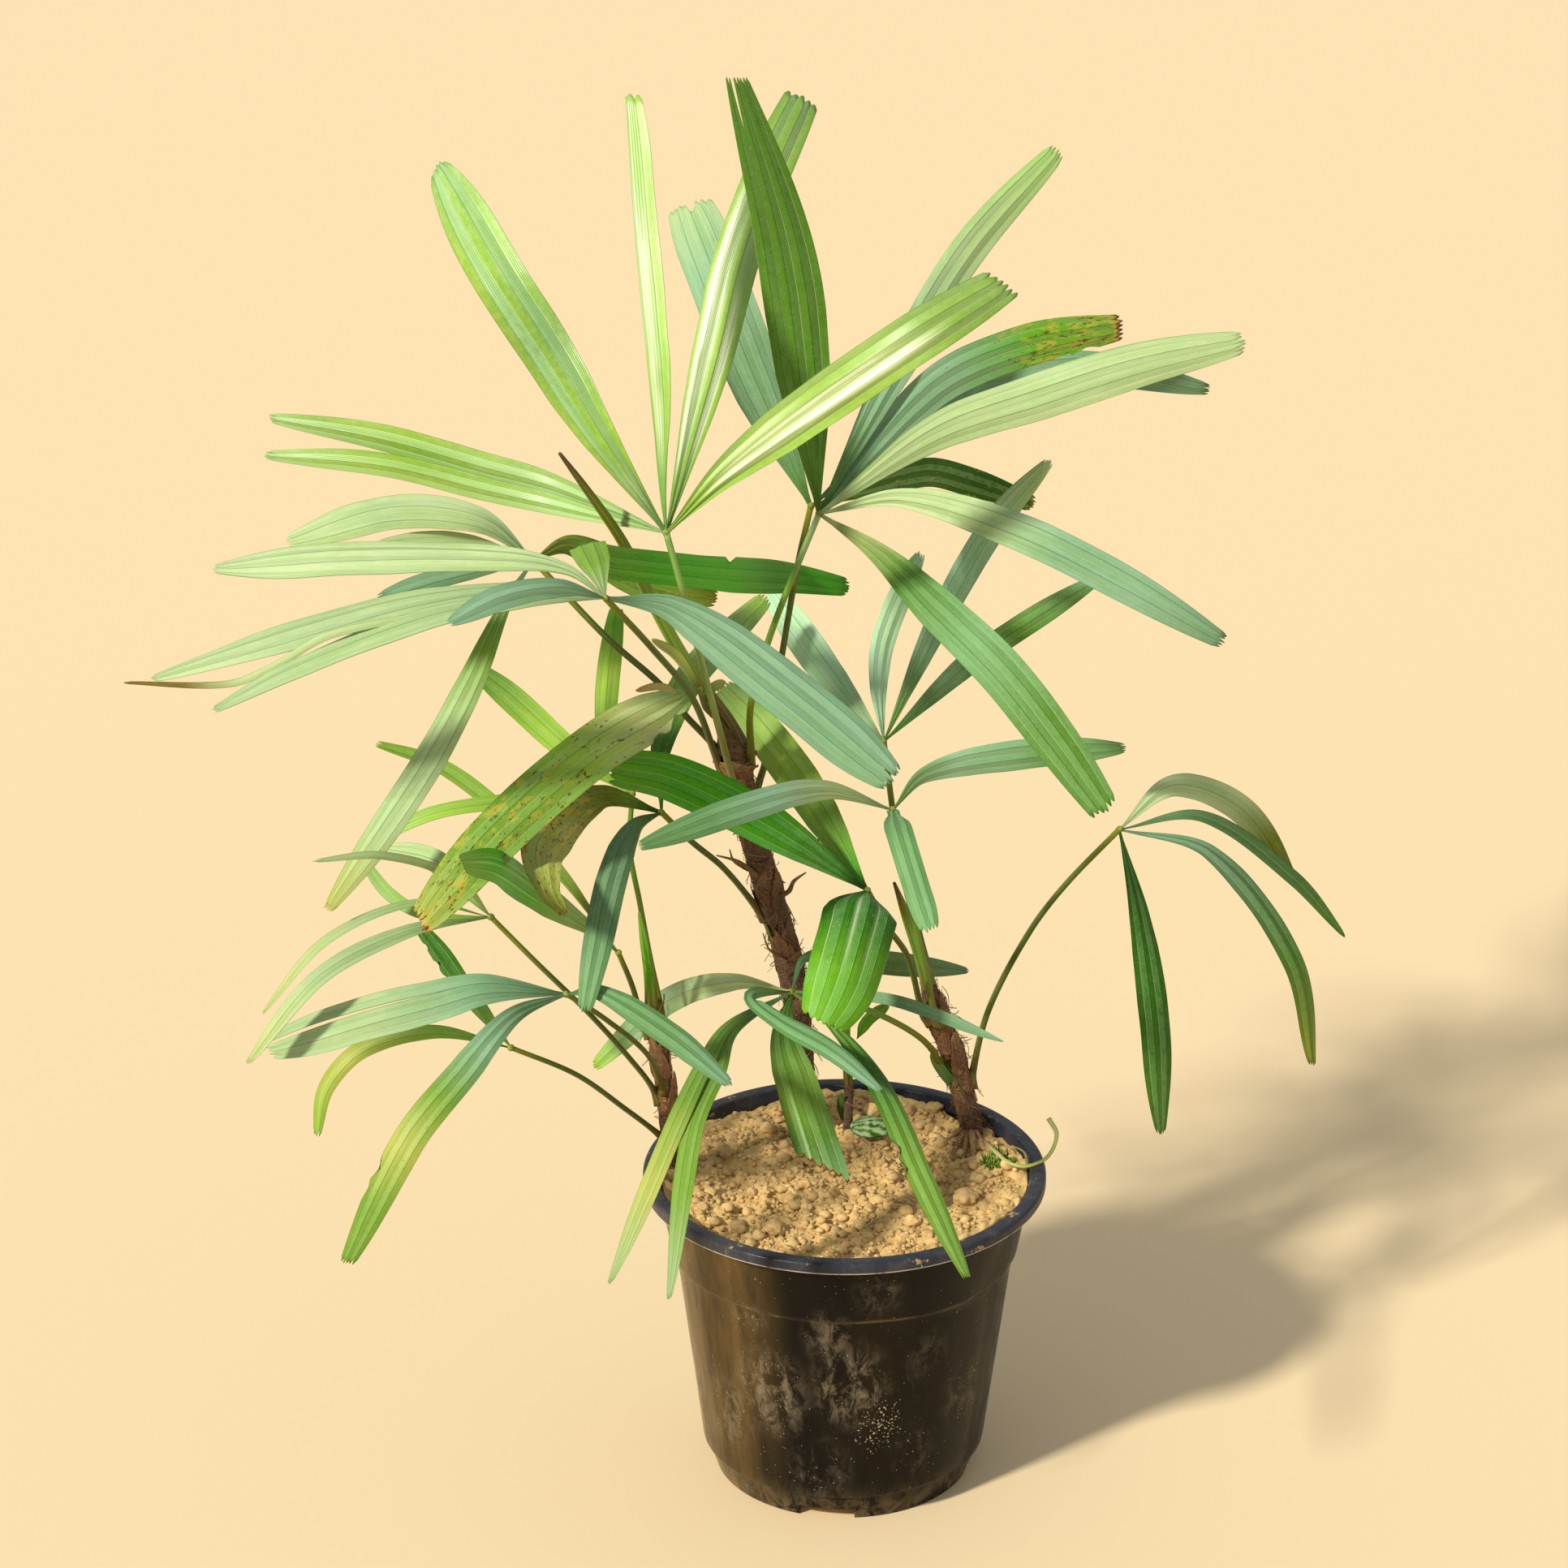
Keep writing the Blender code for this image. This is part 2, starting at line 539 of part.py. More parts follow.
def fuse(name, pieces, material, group, cutters):
    """Joins solid pieces into one object by Boolean unions on the first of them."""
    body = pieces[0]
    body.name = name
    body.data.name = name
    for number, piece in enumerate(pieces[1:]):
        piece.name = f"{name}_piece_{number}"
        piece.hide_render = True
        piece.display_type = "WIRE"
        cutters.objects.link(piece)
        union = body.modifiers.new(f"union_{number}", "BOOLEAN")
        union.operation = "UNION"
        union.object = piece
    link(body, material, group)


def make_knuckle(node):
    """A small ball beside the hub that holds the leaflets of one group together."""
    shape = bmesh.new()
    bmesh.ops.create_uvsphere(shape, u_segments=6, v_segments=4, radius=KNUCKLE_RADIUS)
    bmesh.ops.translate(shape, verts=shape.verts, vec=knuckle_place(node))
    mesh = bpy.data.meshes.new(node)
    shape.to_mesh(mesh)
    shape.free()
    return bpy.data.objects.new("knuckle", mesh)


def make_frond_nodes(group, cutters):
    """One node for each stalk with its own leaflets, and one for each other leaflet group."""
    for node in dict.fromkeys(list(STALKS) + [leaflet.node for leaflet in LEAFLETS]):
        frond = frond_of(node)
        leaflets = leaflets_of(node)
        if node == frond:
            pieces = [make_stalk(frond)]
        elif len(leaflets) > 1:
            pieces = [make_knuckle(node)]
        else:
            pieces = []
        pieces += [make_blade(leaflet) for leaflet in leaflets]
        material = make_material("leaf_" + node, LEAF_GREENS[frond], LEAF_ROUGHNESS)
        fuse("frond_" + node, pieces, material, group, cutters)


def inner_wall(clear):
    """The pot's inside, from its floor to its rim, drawn in by a clearance."""
    wall = [
        (FOOT_RADIUS - WALL - CORNER, FLOOR),
        (FOOT_RADIUS - WALL, FLOOR + CORNER),
        (BODY_FOOT_RADIUS - FOOT_STEP - WALL, FOOT_TOP),
        (BODY_FOOT_RADIUS - WALL, FOOT_TOP + FOOT_SLOPE),
        (COLLAR_FOOT_RADIUS - COLLAR_STEP - WALL, COLLAR_FOOT - COLLAR_STEP),
        (COLLAR_FOOT_RADIUS - WALL, COLLAR_FOOT),
        (COLLAR_TOP_RADIUS - WALL, POT_HEIGHT - RIM_HEIGHT),
        (INNER_RIM_RADIUS, POT_HEIGHT - RIM_ROUND),
    ]
    return [(radius - clear, height) for radius, height in wall]


def pot_outline():
    """The pot's section, from the middle of its floor up the inside and down the outside."""
    under_rim = POT_HEIGHT - RIM_HEIGHT
    return [(0.0, FLOOR)] + inner_wall(0.0) + [
        (INNER_RIM_RADIUS + RIM_ROUND / 2.0, POT_HEIGHT),
        (RIM_RADIUS - RIM_ROUND, POT_HEIGHT),
        (RIM_RADIUS, POT_HEIGHT - RIM_ROUND),
        (RIM_RADIUS, under_rim + RIM_ROUND / 2.0),
        (RIM_RADIUS - RIM_ROUND / 2.0, under_rim),
        (COLLAR_TOP_RADIUS, under_rim),
        (COLLAR_FOOT_RADIUS, COLLAR_FOOT),
        (COLLAR_FOOT_RADIUS - COLLAR_STEP, COLLAR_FOOT - COLLAR_STEP),
        (BODY_FOOT_RADIUS, FOOT_TOP + FOOT_SLOPE),
        (BODY_FOOT_RADIUS - FOOT_STEP, FOOT_TOP),
        (FOOT_RADIUS + FOOT_ROUND, 3.0 * FOOT_ROUND),
        (FOOT_RADIUS, FOOT_ROUND),
        (FOOT_RADIUS - FOOT_ROUND, 0.0),
        (0.0, 0.0),
    ]


def make_turned(name, outline):
    """A solid turned about the Z axis from a section at +X."""
    mesh = bpy.data.meshes.new(name)
    points = [(radius, 0.0, height) for radius, height in outline]
    mesh.from_pydata(points, [(i, i + 1) for i in range(len(points) - 1)], [])
    item = bpy.data.objects.new(name, mesh)
    turned = item.modifiers.new("turned", "SCREW")
    turned.steps = POT_SIDES
    turned.render_steps = POT_SIDES
    turned.use_merge_vertices = True
    turned.merge_threshold = 0.0001
    turned.use_normal_calculate = False
    return item


def make_drain_cutters(cutters):
    """Blocks that cut the drain holes through the pot's lower corner."""
    blocks = []
    for number in range(DRAIN_COUNT):
        shape = bmesh.new()
        bmesh.ops.create_cube(shape, size=1.0)
        depth = RIM_RADIUS - DRAIN_INNER_RADIUS
        for vertex in shape.verts:
            vertex.co.x *= DRAIN_WIDTH
            vertex.co.y = vertex.co.y * depth - DRAIN_INNER_RADIUS - depth / 2.0
            vertex.co.z = (vertex.co.z + 0.5) * (DRAIN_HEIGHT + CUT_MARGIN) - CUT_MARGIN
        mesh = bpy.data.meshes.new("drain")
        shape.to_mesh(mesh)
        shape.free()
        block = bpy.data.objects.new(f"drain_{number}", mesh)
        block.rotation_euler.z = math.radians(DRAIN_TURN + 360.0 / DRAIN_COUNT * number)
        block.hide_render = True
        block.display_type = "WIRE"
        cutters.objects.link(block)
        blocks.append(block)
    return blocks


def make_pot(group, cutters):
    pot = make_turned("pot", pot_outline())
    for number, block in enumerate(make_drain_cutters(cutters)):
        cut = pot.modifiers.new(f"drain_{number}", "BOOLEAN")
        cut.operation = "DIFFERENCE"
        cut.object = block
    link(pot, make_material("pot_plastic", (0.018, 0.016, 0.015), 0.5), group)


def soil_outline():
    """The soil's section, held just inside the pot, with rings across its top."""
    wall = inner_wall(1.5 * GAP)
    (low_radius, low), (high_radius, high) = wall[5:7]
    top_radius = low_radius + (high_radius - low_radius) * (SOIL_TOP - low) / (high - low)
    outline = [(top_radius * ring / SOIL_RINGS, SOIL_TOP) for ring in range(SOIL_RINGS + 1)]
    outline += wall[5:1:-1]
    outline += [(wall[1][0] - GAP, DRAIN_HEIGHT + CUT_MARGIN)]
    outline += [(DRAIN_INNER_RADIUS - CUT_MARGIN, FLOOR + GAP), (0.0, FLOOR + GAP)]
    return outline


def soil_lift(x, y):
    """How far the soil's top is raised at a place: rough, but level round each stem."""
    place = Vector((x, y, 0.0))
    feet = [soil_point(*stem["foot"][:2]) for stem in STEMS.values()]
    nearest = min((place - foot.to_2d().to_3d()).length for foot in feet)
    ease = min(max((nearest - FLAT_ROUND_STEM) / 0.012, 0.0), 1.0)
    rough = noise.noise(place / CLOD_SIZE) + 0.5 * noise.noise(place / CLOD_SIZE * 2.3)
    return SOIL_ROUGHNESS * ease * max(min(rough, 1.0), -1.0)


def make_soil(group):
    turned = make_turned("soil_turned", soil_outline())
    bpy.context.scene.collection.objects.link(turned)
    evaluated = turned.evaluated_get(bpy.context.evaluated_depsgraph_get())
    mesh = bpy.data.meshes.new_from_object(evaluated)
    bpy.data.objects.remove(turned, do_unlink=True)
    for vertex in mesh.vertices:
        inside = math.hypot(vertex.co.x, vertex.co.y) < COLLAR_FOOT_RADIUS - WALL
        if inside and abs(vertex.co.z - SOIL_TOP) < 0.0001:
            vertex.co.z += soil_lift(vertex.co.x, vertex.co.y)
    soil = bpy.data.objects.new("soil", mesh)
    link(soil, make_material("sandy_soil", (0.42, 0.30, 0.15), 0.95), group)


def make_stems(group):
    for name in STEMS:
        link(make_stem(name), make_material("bark_" + name, STEM_BROWNS[name], 0.85), group)


def smooth_shade(group):
    for item in group.objects:
        item.data.shade_smooth()
        item.data.set_sharp_from_angle(angle=math.radians(40.0))


def main():
    clear_scene()
    plant = new_collection("potted_lady_palm")
    cutters = new_collection("cutters")
    make_pot(plant, cutters)
    make_soil(plant)
    make_stems(plant)
    make_frond_nodes(plant, cutters)
    smooth_shade(plant)


main()
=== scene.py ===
"""The looks of a potted lady palm: pleated leaflets, fibrous stems, sandy soil and a dusty pot."""

import math

import bmesh
import bpy
import numpy as np
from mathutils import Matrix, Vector


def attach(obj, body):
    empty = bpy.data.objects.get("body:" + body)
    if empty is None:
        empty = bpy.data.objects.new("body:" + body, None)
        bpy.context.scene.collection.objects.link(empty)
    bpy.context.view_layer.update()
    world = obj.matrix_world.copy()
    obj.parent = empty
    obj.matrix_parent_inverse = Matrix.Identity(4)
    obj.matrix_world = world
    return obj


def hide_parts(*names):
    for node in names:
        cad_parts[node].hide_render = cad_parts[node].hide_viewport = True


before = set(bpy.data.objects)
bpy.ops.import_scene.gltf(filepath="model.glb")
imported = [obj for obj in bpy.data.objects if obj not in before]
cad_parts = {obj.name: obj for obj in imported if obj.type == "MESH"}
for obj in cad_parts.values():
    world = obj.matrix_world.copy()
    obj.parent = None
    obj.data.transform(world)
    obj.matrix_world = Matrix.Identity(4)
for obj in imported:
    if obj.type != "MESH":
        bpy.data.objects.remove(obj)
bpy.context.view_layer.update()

# The viewpoint of the photograph, in a frame of 1932 by 1932 pixels
EYE = np.array((-0.039, -3.08, 1.817))
PITCH = math.radians(23.45)
FOCAL = 6620.0
CENTRE = 966.0
FRAME_PIXELS = 1932.0
FORWARD = np.array((0.0, math.cos(PITCH), -math.sin(PITCH)))
UPWARD = np.array((0.0, math.sin(PITCH), math.cos(PITCH)))

# The crown's depth is drawn out about its middle, in millimetres
CROWN_MIDDLE = 40.0
CROWN_SPREAD = 1.6
SOIL_LEVEL = 0.1983
TOWARDS_LIGHT = (-0.58, -0.56, 0.59)
MM = 0.001

# Leaf colours: the side the photograph shows, then the other side. Some hold painted light and shade:
# the bluish tones a painted reflection of the sky, slate the darker green of leaflets in shade, and
# frost and emerald brighter colours for leaflets that lie in shade
TONES = {
    "lime": ((0.30, 0.47, 0.05), (0.25, 0.42, 0.08)),
    "apple": ((0.33, 0.50, 0.15), (0.28, 0.44, 0.13)),
    "grass": ((0.12, 0.33, 0.008), (0.14, 0.33, 0.02)),
    "vivid": ((0.045, 0.30, 0.0), (0.07, 0.29, 0.008)),
    "leaf": ((0.17, 0.30, 0.03), (0.17, 0.30, 0.06)),
    "deep": ((0.075, 0.185, 0.014), (0.08, 0.19, 0.03)),
    "bottle": ((0.024, 0.125, 0.0), (0.035, 0.14, 0.006)),
    "jade": ((0.15, 0.31, 0.12), (0.14, 0.29, 0.10)),
    "blue": ((0.21, 0.365, 0.225), (0.17, 0.32, 0.16)),
    "aqua": ((0.30, 0.50, 0.32), (0.26, 0.46, 0.27)),
    "frost": ((0.46, 0.68, 0.44), (0.42, 0.62, 0.38)),
    "emerald": ((0.07, 0.46, 0.0), (0.07, 0.40, 0.01)),
    "slate": ((0.115, 0.215, 0.105), (0.10, 0.20, 0.09)),
    "sage": ((0.37, 0.475, 0.235), (0.27, 0.39, 0.17)),
    "mint": ((0.47, 0.565, 0.29), (0.33, 0.45, 0.21)),
    "olive": ((0.20, 0.225, 0.008), (0.16, 0.18, 0.015)),
    "umber": ((0.16, 0.11, 0.015), (0.13, 0.10, 0.02)),
    "straw": ((0.42, 0.43, 0.09), (0.35, 0.37, 0.09)),
    "cream": ((0.50, 0.51, 0.20), (0.38, 0.41, 0.16)),
    "tan": ((0.42, 0.25, 0.10), (0.36, 0.22, 0.10)),
    "rust": ((0.27, 0.135, 0.055), (0.27, 0.135, 0.055)),
    "bark": ((0.115, 0.062, 0.032), (0.115, 0.062, 0.032)),
    "stalk": ((0.085, 0.115, 0.016), (0.085, 0.115, 0.016)),
}

# A stem's foot is (across, back, radius), and its points are (across, down, back, radius): pixels
# for across and down, and millimetres for the others
STEMS = {
    "main_stem": {
        "foot": (990, 66, 9.6),
        "path": (
            (978, 1210, 58, 8.4), (952, 1115, 50, 8.3), (925, 1020, 42, 8.2), (910, 955, 36, 8.8),
            (906, 933, 34, 10.6), (902, 916, 32, 8.6), (893, 888, 28, 5.4), (868, 852, 20, 4.4),
            (838, 805, 8, 4.0), (800, 735, -10, 3.5), (765, 665, -36, 3.0), (720, 600, -52, 2.2),
            (683, 550, -60, 0.7),
        ),
    },
    "right_stem": {
        "foot": (1195, 66, 8.0),
        "path": (
            (1180, 1320, 64, 7.0), (1165, 1275, 60, 6.8), (1152, 1240, 56, 7.4),
            (1144, 1215, 53, 4.8), (1133, 1180, 48, 3.4), (1117, 1130, 40, 3.0), (1100, 1083, 30, 0.7),
        ),
    },
    "left_stem": {
        "foot": (836, 12, 6.0),
        "path": (
            (825, 1390, 12, 5.6), (818, 1330, 12, 5.5), (811, 1285, 10, 5.6), (806, 1255, 9, 5.8),
            (803, 1236, 8, 4.0), (800, 1200, 5, 3.2), (794, 1160, 2, 2.6), (787, 1122, 0, 0.7),
        ),
    },
    "small_stem": {
        "foot": (1045, 72, 3.6),
        "path": ((1046, 1340, 68, 2.9), (1043, 1290, 60, 2.7), (1046, 1245, 55, 0.9)),
    },
}

# A stalk leaves its stem at a pixel row, on the side that faces so many degrees,
# and passes its points (across, down, back) to the hub, which is the last of them
STALKS = {
    "a": ("main", 975, 255, 2.3, ((893, 925, 10), (868, 830, -20), (843, 735, -54), (821, 657, -50))),
    "b": ("main", 935, 330, 2.2, ((925, 870, 22), (945, 795, 20), (975, 715, 22), (1009, 633, 30))),
    "c": ("main", 942, 205, 2.2, ((853, 860, -20), (800, 795, -70), (746, 737, -100))),
    "d": ("main", 938, 150, 2.2, ((845, 882, 16), (812, 842, -6), (745, 783, -20), (657, 690, -20))),
    "e": ("main", 868, 240, 1.9, ((862, 850, -2),)),
    "f": ("right", 1248, 80, 2.2, ((1125, 1120, 70), (1105, 1030, 80), (1089, 914, 80))),
    "g": ("right", 1338, 0, 2.1, (
        (1219, 1242, 60), (1268, 1149, 55), (1312, 1091, 50), (1379, 1022, 45),
    )),
    "h": ("right", 1250, 265, 2.1, ((1130, 1150, 28), (1108, 1060, 10), (1100, 998, 0))),
    "i": ("main", 1122, 190, 2.1, ((890, 1068, 20), (851, 1036, 10), (815, 1001, 0))),
    "j": ("left", 1270, 180, 1.9, ((779, 1215, 0), (762, 1174, -10))),
    "k": ("left", 1262, 55, 1.9, ((801, 1180, 20), (788, 1111, 20), (776, 1045, 24), (779, 978, 30))),
    "l": ("right", 1322, 205, 2.1, (
        (1140, 1284, 40), (1100, 1258, 20), (1050, 1238, 0), (975, 1222, -20),
    )),
    "m": ("left", 1352, 195, 1.8, (
        (780, 1309, -20), (726, 1249, -50), (660, 1185, -60), (605, 1130, -60),
    )),
    "n": ("left", 1336, 255, 1.8, ((794, 1295, -30), (745, 1255, -60), (698, 1225, -80))),
    "o": ("left", 1402, 190, 1.8, ((770, 1366, -10), (710, 1324, -20), (630, 1291, -30))),
    "p": ("right", 1250, 205, 2.1, ((1118, 1178, 20), (1092, 1140, 0), (1069, 1097, -20))),
    "r": ("main", 1000, 48, 2.2, (
        (945, 930, 60), (950, 880, 70), (962, 815, 58), (982, 700, 40), (999, 624, 38),
    )),
}

# Tones of the stalks that differ from the rest, from stem to hub
COMMON_STALK_TONES = "umber stalk stalk stalk olive"
STALK_TONES = {
    "a": "umber olive leaf leaf leaf", "b": "umber olive leaf leaf sage", "h": "umber leaf leaf leaf",
    "l": "umber olive leaf leaf", "k": "umber olive leaf deep",
}
STALK_SIDES = 14
HUB_SIDES = 16

# How a stalk starts, in metres: how far below and above its start it runs along the stem, how deep
# in the stem it starts as a share of the stem's radius, and how its clasp widens and fades
STALK_BELOW, STALK_ABOVE, STALK_DEEP = 0.004, 0.006, 0.9
CLASP_WIDER, CLASP_FADE = 0.9, 0.010

LEAVES = []


def leaflet(node, width, turn, strips, tones, path, **more):
    """Notes one leaflet: its node, width in millimetres, turn of its face from the viewer in
    degrees, number of pleated strips, tones from base to tip, and points (across, down, back)."""
    LEAVES.append(dict(node=node, width=width, turn=turn, strips=strips, tones=tones.split(),
                       path=path, number=len(LEAVES), **more))


# A leaflet's gloss rows (strip, width, start share, stop share, strength) lay painted near-white
# highlight stripes along its strips
leaflet("a_leaflet_1", 33, 10, 5, "leaf lime leaf lime apple", (
    (738, 538, -40), (674, 434, -22), (610, 335, -6), (537, 202, 30)),
    tip=0.36, taper=0.74, point=2.6, bands=0.6, pleat=1.1, slant=-3, round=5, teeth=3,
    gloss=((2.5, 1.6, 0.03, 0.20, 0.5),))
leaflet("a", 27, 55, 4, "grass lime lime lime", ((802, 463, -38), (785, 290, -10), (772, 116, 20)),
        tip=0.6, fold=35, bands=0.3, pleat=1,
        gloss=((1.5, 0.3, 0.12, 0.78, 0.6), (3.4, 0.2, 0.3, 0.7, 0.3)))
leaflet("a_leaflet_2", 28, -5, 5, "leaf lime lime leaf", (
    (882, 424, 15), (906, 325, 42), (946, 214, 76), (990, 118, 110)),
    tip=0.8, taper=0.8, teeth=4.5, round=1, bands=0.3, pleat=0.8,
    gloss=((4.1, 0.5, 0.10, 0.80, 1.0), (3.0, 0.35, 0.12, 0.72, 0.9), (1.3, 0.45, 0.10, 0.55, 1.0)))
leaflet("a_leaflet_3", 30, -8, 6, "lime lime lime leaf", (
    (900, 578, -62), (1105, 432, -80), (1245, 345, -70)),
    tip=0.66, taper=0.75, teeth=4.5, round=1, slant=-4, bands=0.3, pleat=0.9,
    gloss=((2.2, 0.6, 0.12, 0.84, 1.0), (3.5, 0.5, 0.16, 0.80, 0.9), (4.6, 0.3, 0.1, 0.5, 0.5)))
leaflet("a_leaflet_4", 19, 30, 4, "apple apple lime apple", (
    (680, 598, -16), (600, 576, -8), (470, 540, 3), (331, 515, 20)), tip=0.3, pleat=0.5, bands=0.4)
leaflet("a_leaflet_4", 17, 30, 4, "apple apple lime apple", (
    (680, 622, -17), (600, 604, -9), (470, 573, -2), (325, 561, 10)), tip=0.3, pleat=0.5, bands=0.4)

leaflet("b", 37, 0, 7, "deep", ((992, 480, 28), (966, 300, 22), (906, 92, 10)),
        tip=0.32, taper=0.50, point=1.5, broad=0.45, teeth=5, round=0, slant=2, bands=0.1, pleat=0.6,
        splits=((5, 0.88, 0.14),))
leaflet("b_leaflet_1", 23, -15, 5, "deep blue sage apple", (
    (1105, 455, 48), (1195, 307, 76), (1305, 184, 100)), tip=0.5, teeth=6, round=2)
leaflet("b_leaflet_2", 27, -15, 6, "slate blue blue grass leaf", (
    (1150, 480, 52), (1260, 428, 66), (1384, 403, 80)),
    tip=0.6, teeth=4, spots=(0.15, 0.2, 0.35, 1.0, 0.95),
    nicks=((0.90, -1, 0.25, 0.03), (0.83, -1, 0.15, 0.02)))
leaflet("b_leaflet_3", 29, -14, 6, "sage sage sage sage", (
    (1152, 535, 20), (1279, 490, 10), (1405, 450, 2), (1535, 421, -5)), tip=0.45, pleat=0.3)
leaflet("b_leaflet_4", 23, -10, 5, "mint mint sage blue blue slate", (
    (1110, 614, 18), (1250, 654, -12), (1370, 712, -25), (1509, 792, -35)), tip=0.4, pleat=0.6)
leaflet("b_leaflet_5", 29, -3, 6, "cream deep jade deep deep", (
    (1080, 680, 14), (1152, 748, -12), (1232, 826, -36), (1300, 912, -58), (1364, 1002, -80)),
    tip=0.6, teeth=6, round=2)

leaflet("r", 37, 10, 8, "deep slate slate blue sage", (
    (921, 444, 82), (870, 310, 112), (846, 249, 132)),
    tip=0.75, taper=0.8, teeth=4, round=1, slant=2, spots=0.4, bites=((-0.1, 7, 0.15),), dry=0.1)
leaflet("r_leaflet_1", 23, -10, 5, "slate blue blue slate", (
    (1152, 501, 82), (1321, 455, 96), (1491, 480, 108)), tip=0.3)
leaflet("r_leaflet_1", 19, -10, 5, "leaf deep bottle bottle", (
    (1136, 583, 90), (1195, 594, 112), (1275, 622, 130)), tip=0.5, spots=0.75, teeth=4, bands=0.4)

leaflet("c", 30, -50, 6, "sage mint mint mint", (
    (700, 702, -93), (620, 687, -90), (420, 686, -86), (262, 700, -80)), tip=0.25, pleat=0.7)
leaflet("c_leaflet_1", 24, -55, 5, "blue sage sage mint", (
    (700, 722, -100), (523, 737, -112), (357, 781, -118), (186, 836, -120)), tip=0.25, pleat=0.7)
leaflet("c_leaflet_2", 19, -50, 4, "sage sage sage sage", (
    (640, 742, -114), (523, 762, -125), (357, 826, -135), (262, 875, -140)), tip=0.3, pleat=0.7)
leaflet("c_leaflet_2", 4.5, 0, 1, "mint mint mint mint mint mint mint umber umber", (
    (600, 748, -115), (411, 781, -128), (334, 823, -128), (280, 843, -127), (152, 841, -122)), tip=0.3)
leaflet("c_leaflet_2", 15, -20, 4, "blue aqua aqua", (
    (690, 724, -122), (620, 735, -150), (553, 768, -180)), tip=0.3)
leaflet("c_leaflet_3", 32, 10, 7, "slate blue blue blue blue", (
    (830, 751, -100), (970, 852, -106), (1102, 962, -112)),
    tip=0.5, taper=0.75, teeth=5, round=2, pleat=0.7, splits=((4, 0.94, 0.10),))
leaflet("c_leaflet_4", 22, -10, 6, "sage leaf leaf", ((736, 702, -92), (723, 670, -76)),
        tip=1.0, broad=0.9, teeth=0, round=0)
leaflet("c_leaflet_4", 22, 0, 6, "leaf emerald emerald vivid vivid", (
    (728, 688, -76), (762, 694, -62), (838, 702, -30), (900, 708, 6), (980, 713, 62), (1047, 724, 78)),
    free=True, base=0.9, tip=0.5, nicks=((0.52, 1, 0.4, 0.025),), teeth=4)

leaflet("d", 23, (-10, -20, -35, -20), 5, "blue mint sage mint", (
    (590, 640, -27), (480, 630, -34), (352, 668, -44)), tip=0.3)
leaflet("d", 13, -10, 3, "sage mint", ((560, 668, -30), (460, 672, -44)), tip=0.3)
leaflet("d", 12, -10, 3, "slate blue", ((565, 706, -30), (465, 736, -48)), tip=0.3)
leaflet("d_leaflet_1", 20, -15, 5, "slate leaf sage sage straw", (
    (625, 740, -30), (575, 850, -46), (520, 950, -60), (403, 1122, -82)), tip=0.3)
leaflet("d_leaflet_2", 20, 0, 5, "umber leaf leaf olive", (
    (705, 672, -2), (790, 717, 12), (884, 738, 26)), tip=0.5, spots=0.7)

leaflet("e", 33, -15, 6, "apple cream lime leaf leaf straw", (
    (835, 862, -12), (730, 925, -45), (610, 1030, -85), (513, 1143, -115)),
    tip=0.45, taper=0.7, spots=(0.4, 0.8, 0.9, 0.9), broad=0.22, round=1, slant=5,
    nicks=((0.12, 1, 0.4, 0.03), (0.19, 1, 0.25, 0.02)), dry=0.4)

leaflet("f_leaflet_1", 22, 10, 6, "sage aqua frost frost", ((1020, 830, 94), (947, 727, 125)), tip=0.4)
leaflet("f", 17, -25, 5, "aqua frost frost aqua", (
    (1083, 843, 90), (1092, 780, 108), (1135, 680, 122)), tip=0.4)
leaflet("f_leaflet_2", 18, -10, 5, "leaf blue aqua sage", (
    (1160, 760, 94), (1228, 644, 100), (1295, 566, 94)), tip=0.3)
leaflet("f_leaflet_2", 16, -10, 4, "deep slate deep jade", (
    (1187, 823, 80), (1250, 778, 78), (1353, 713, 76)), tip=0.4)

leaflet("g_leaflet_1", 21, 25, 5, "bottle bottle bottle deep", (
    (1405, 1130, 40), (1424, 1260, 38), (1431, 1398, 40)), tip=0.3, bands=0.2, spots=0.35, pleat=0.25)
leaflet("g_leaflet_2", 18, 40, 4, "blue slate deep olive", (
    (1491, 1050, 45), (1594, 1184, 45), (1618, 1314, 45)), tip=0.3)
leaflet("g_leaflet_2", 10, 20, 2, "slate deep", (
    (1482, 1006, 60), (1594, 1082, 65), (1658, 1155, 65)), tip=0.2)
leaflet("g", 18, 10, 4, "mint mint mint mint olive olive", (
    (1446, 968, 68), (1528, 996, 76), (1594, 1084, 78)), tip=0.3)

leaflet("h_leaflet_1", 18, -15, 5, "sage mint aqua jade jade", (
    (1019, 973, -20), (923, 993, -60), (787, 1043, -100)), tip=0.3)
leaflet("h", 17, 10, 5, "jade", ((1110, 1030, -30), (1130, 1095, -48), (1147, 1148, -60)),
        tip=0.6, taper=0.8, teeth=5, base=0.45, broad=0.3)
leaflet("h_leaflet_2", 20, -25, 5, "leaf aqua jade jade", (
    (1140, 955, 14), (1250, 932, 30), (1388, 922, 40)), tip=0.3)

leaflet("i", 31, 10, 6, "bottle olive straw straw olive", (
    (745, 982, -5), (672, 1040, -62), (676, 1096, -95), (697, 1130, -105)),
    tip=0.15, taper=0.55, point=1.6, spots=(0.5, 1.0, 1.0, 0.8))
leaflet("i_leaflet_1", 20, 10, 5, "deep bottle leaf sage lime", (
    (815, 920, 26), (850, 835, 56), (945, 735, 90)), tip=0.5, spots=(0.9, 0.6, 0.1))
leaflet("i_leaflet_2", 19, 0, 5, "deep slate slate jade", (
    (781, 1020, -24), (755, 1080, -60), (735, 1170, -86), (720, 1248, -100)), tip=0.4)

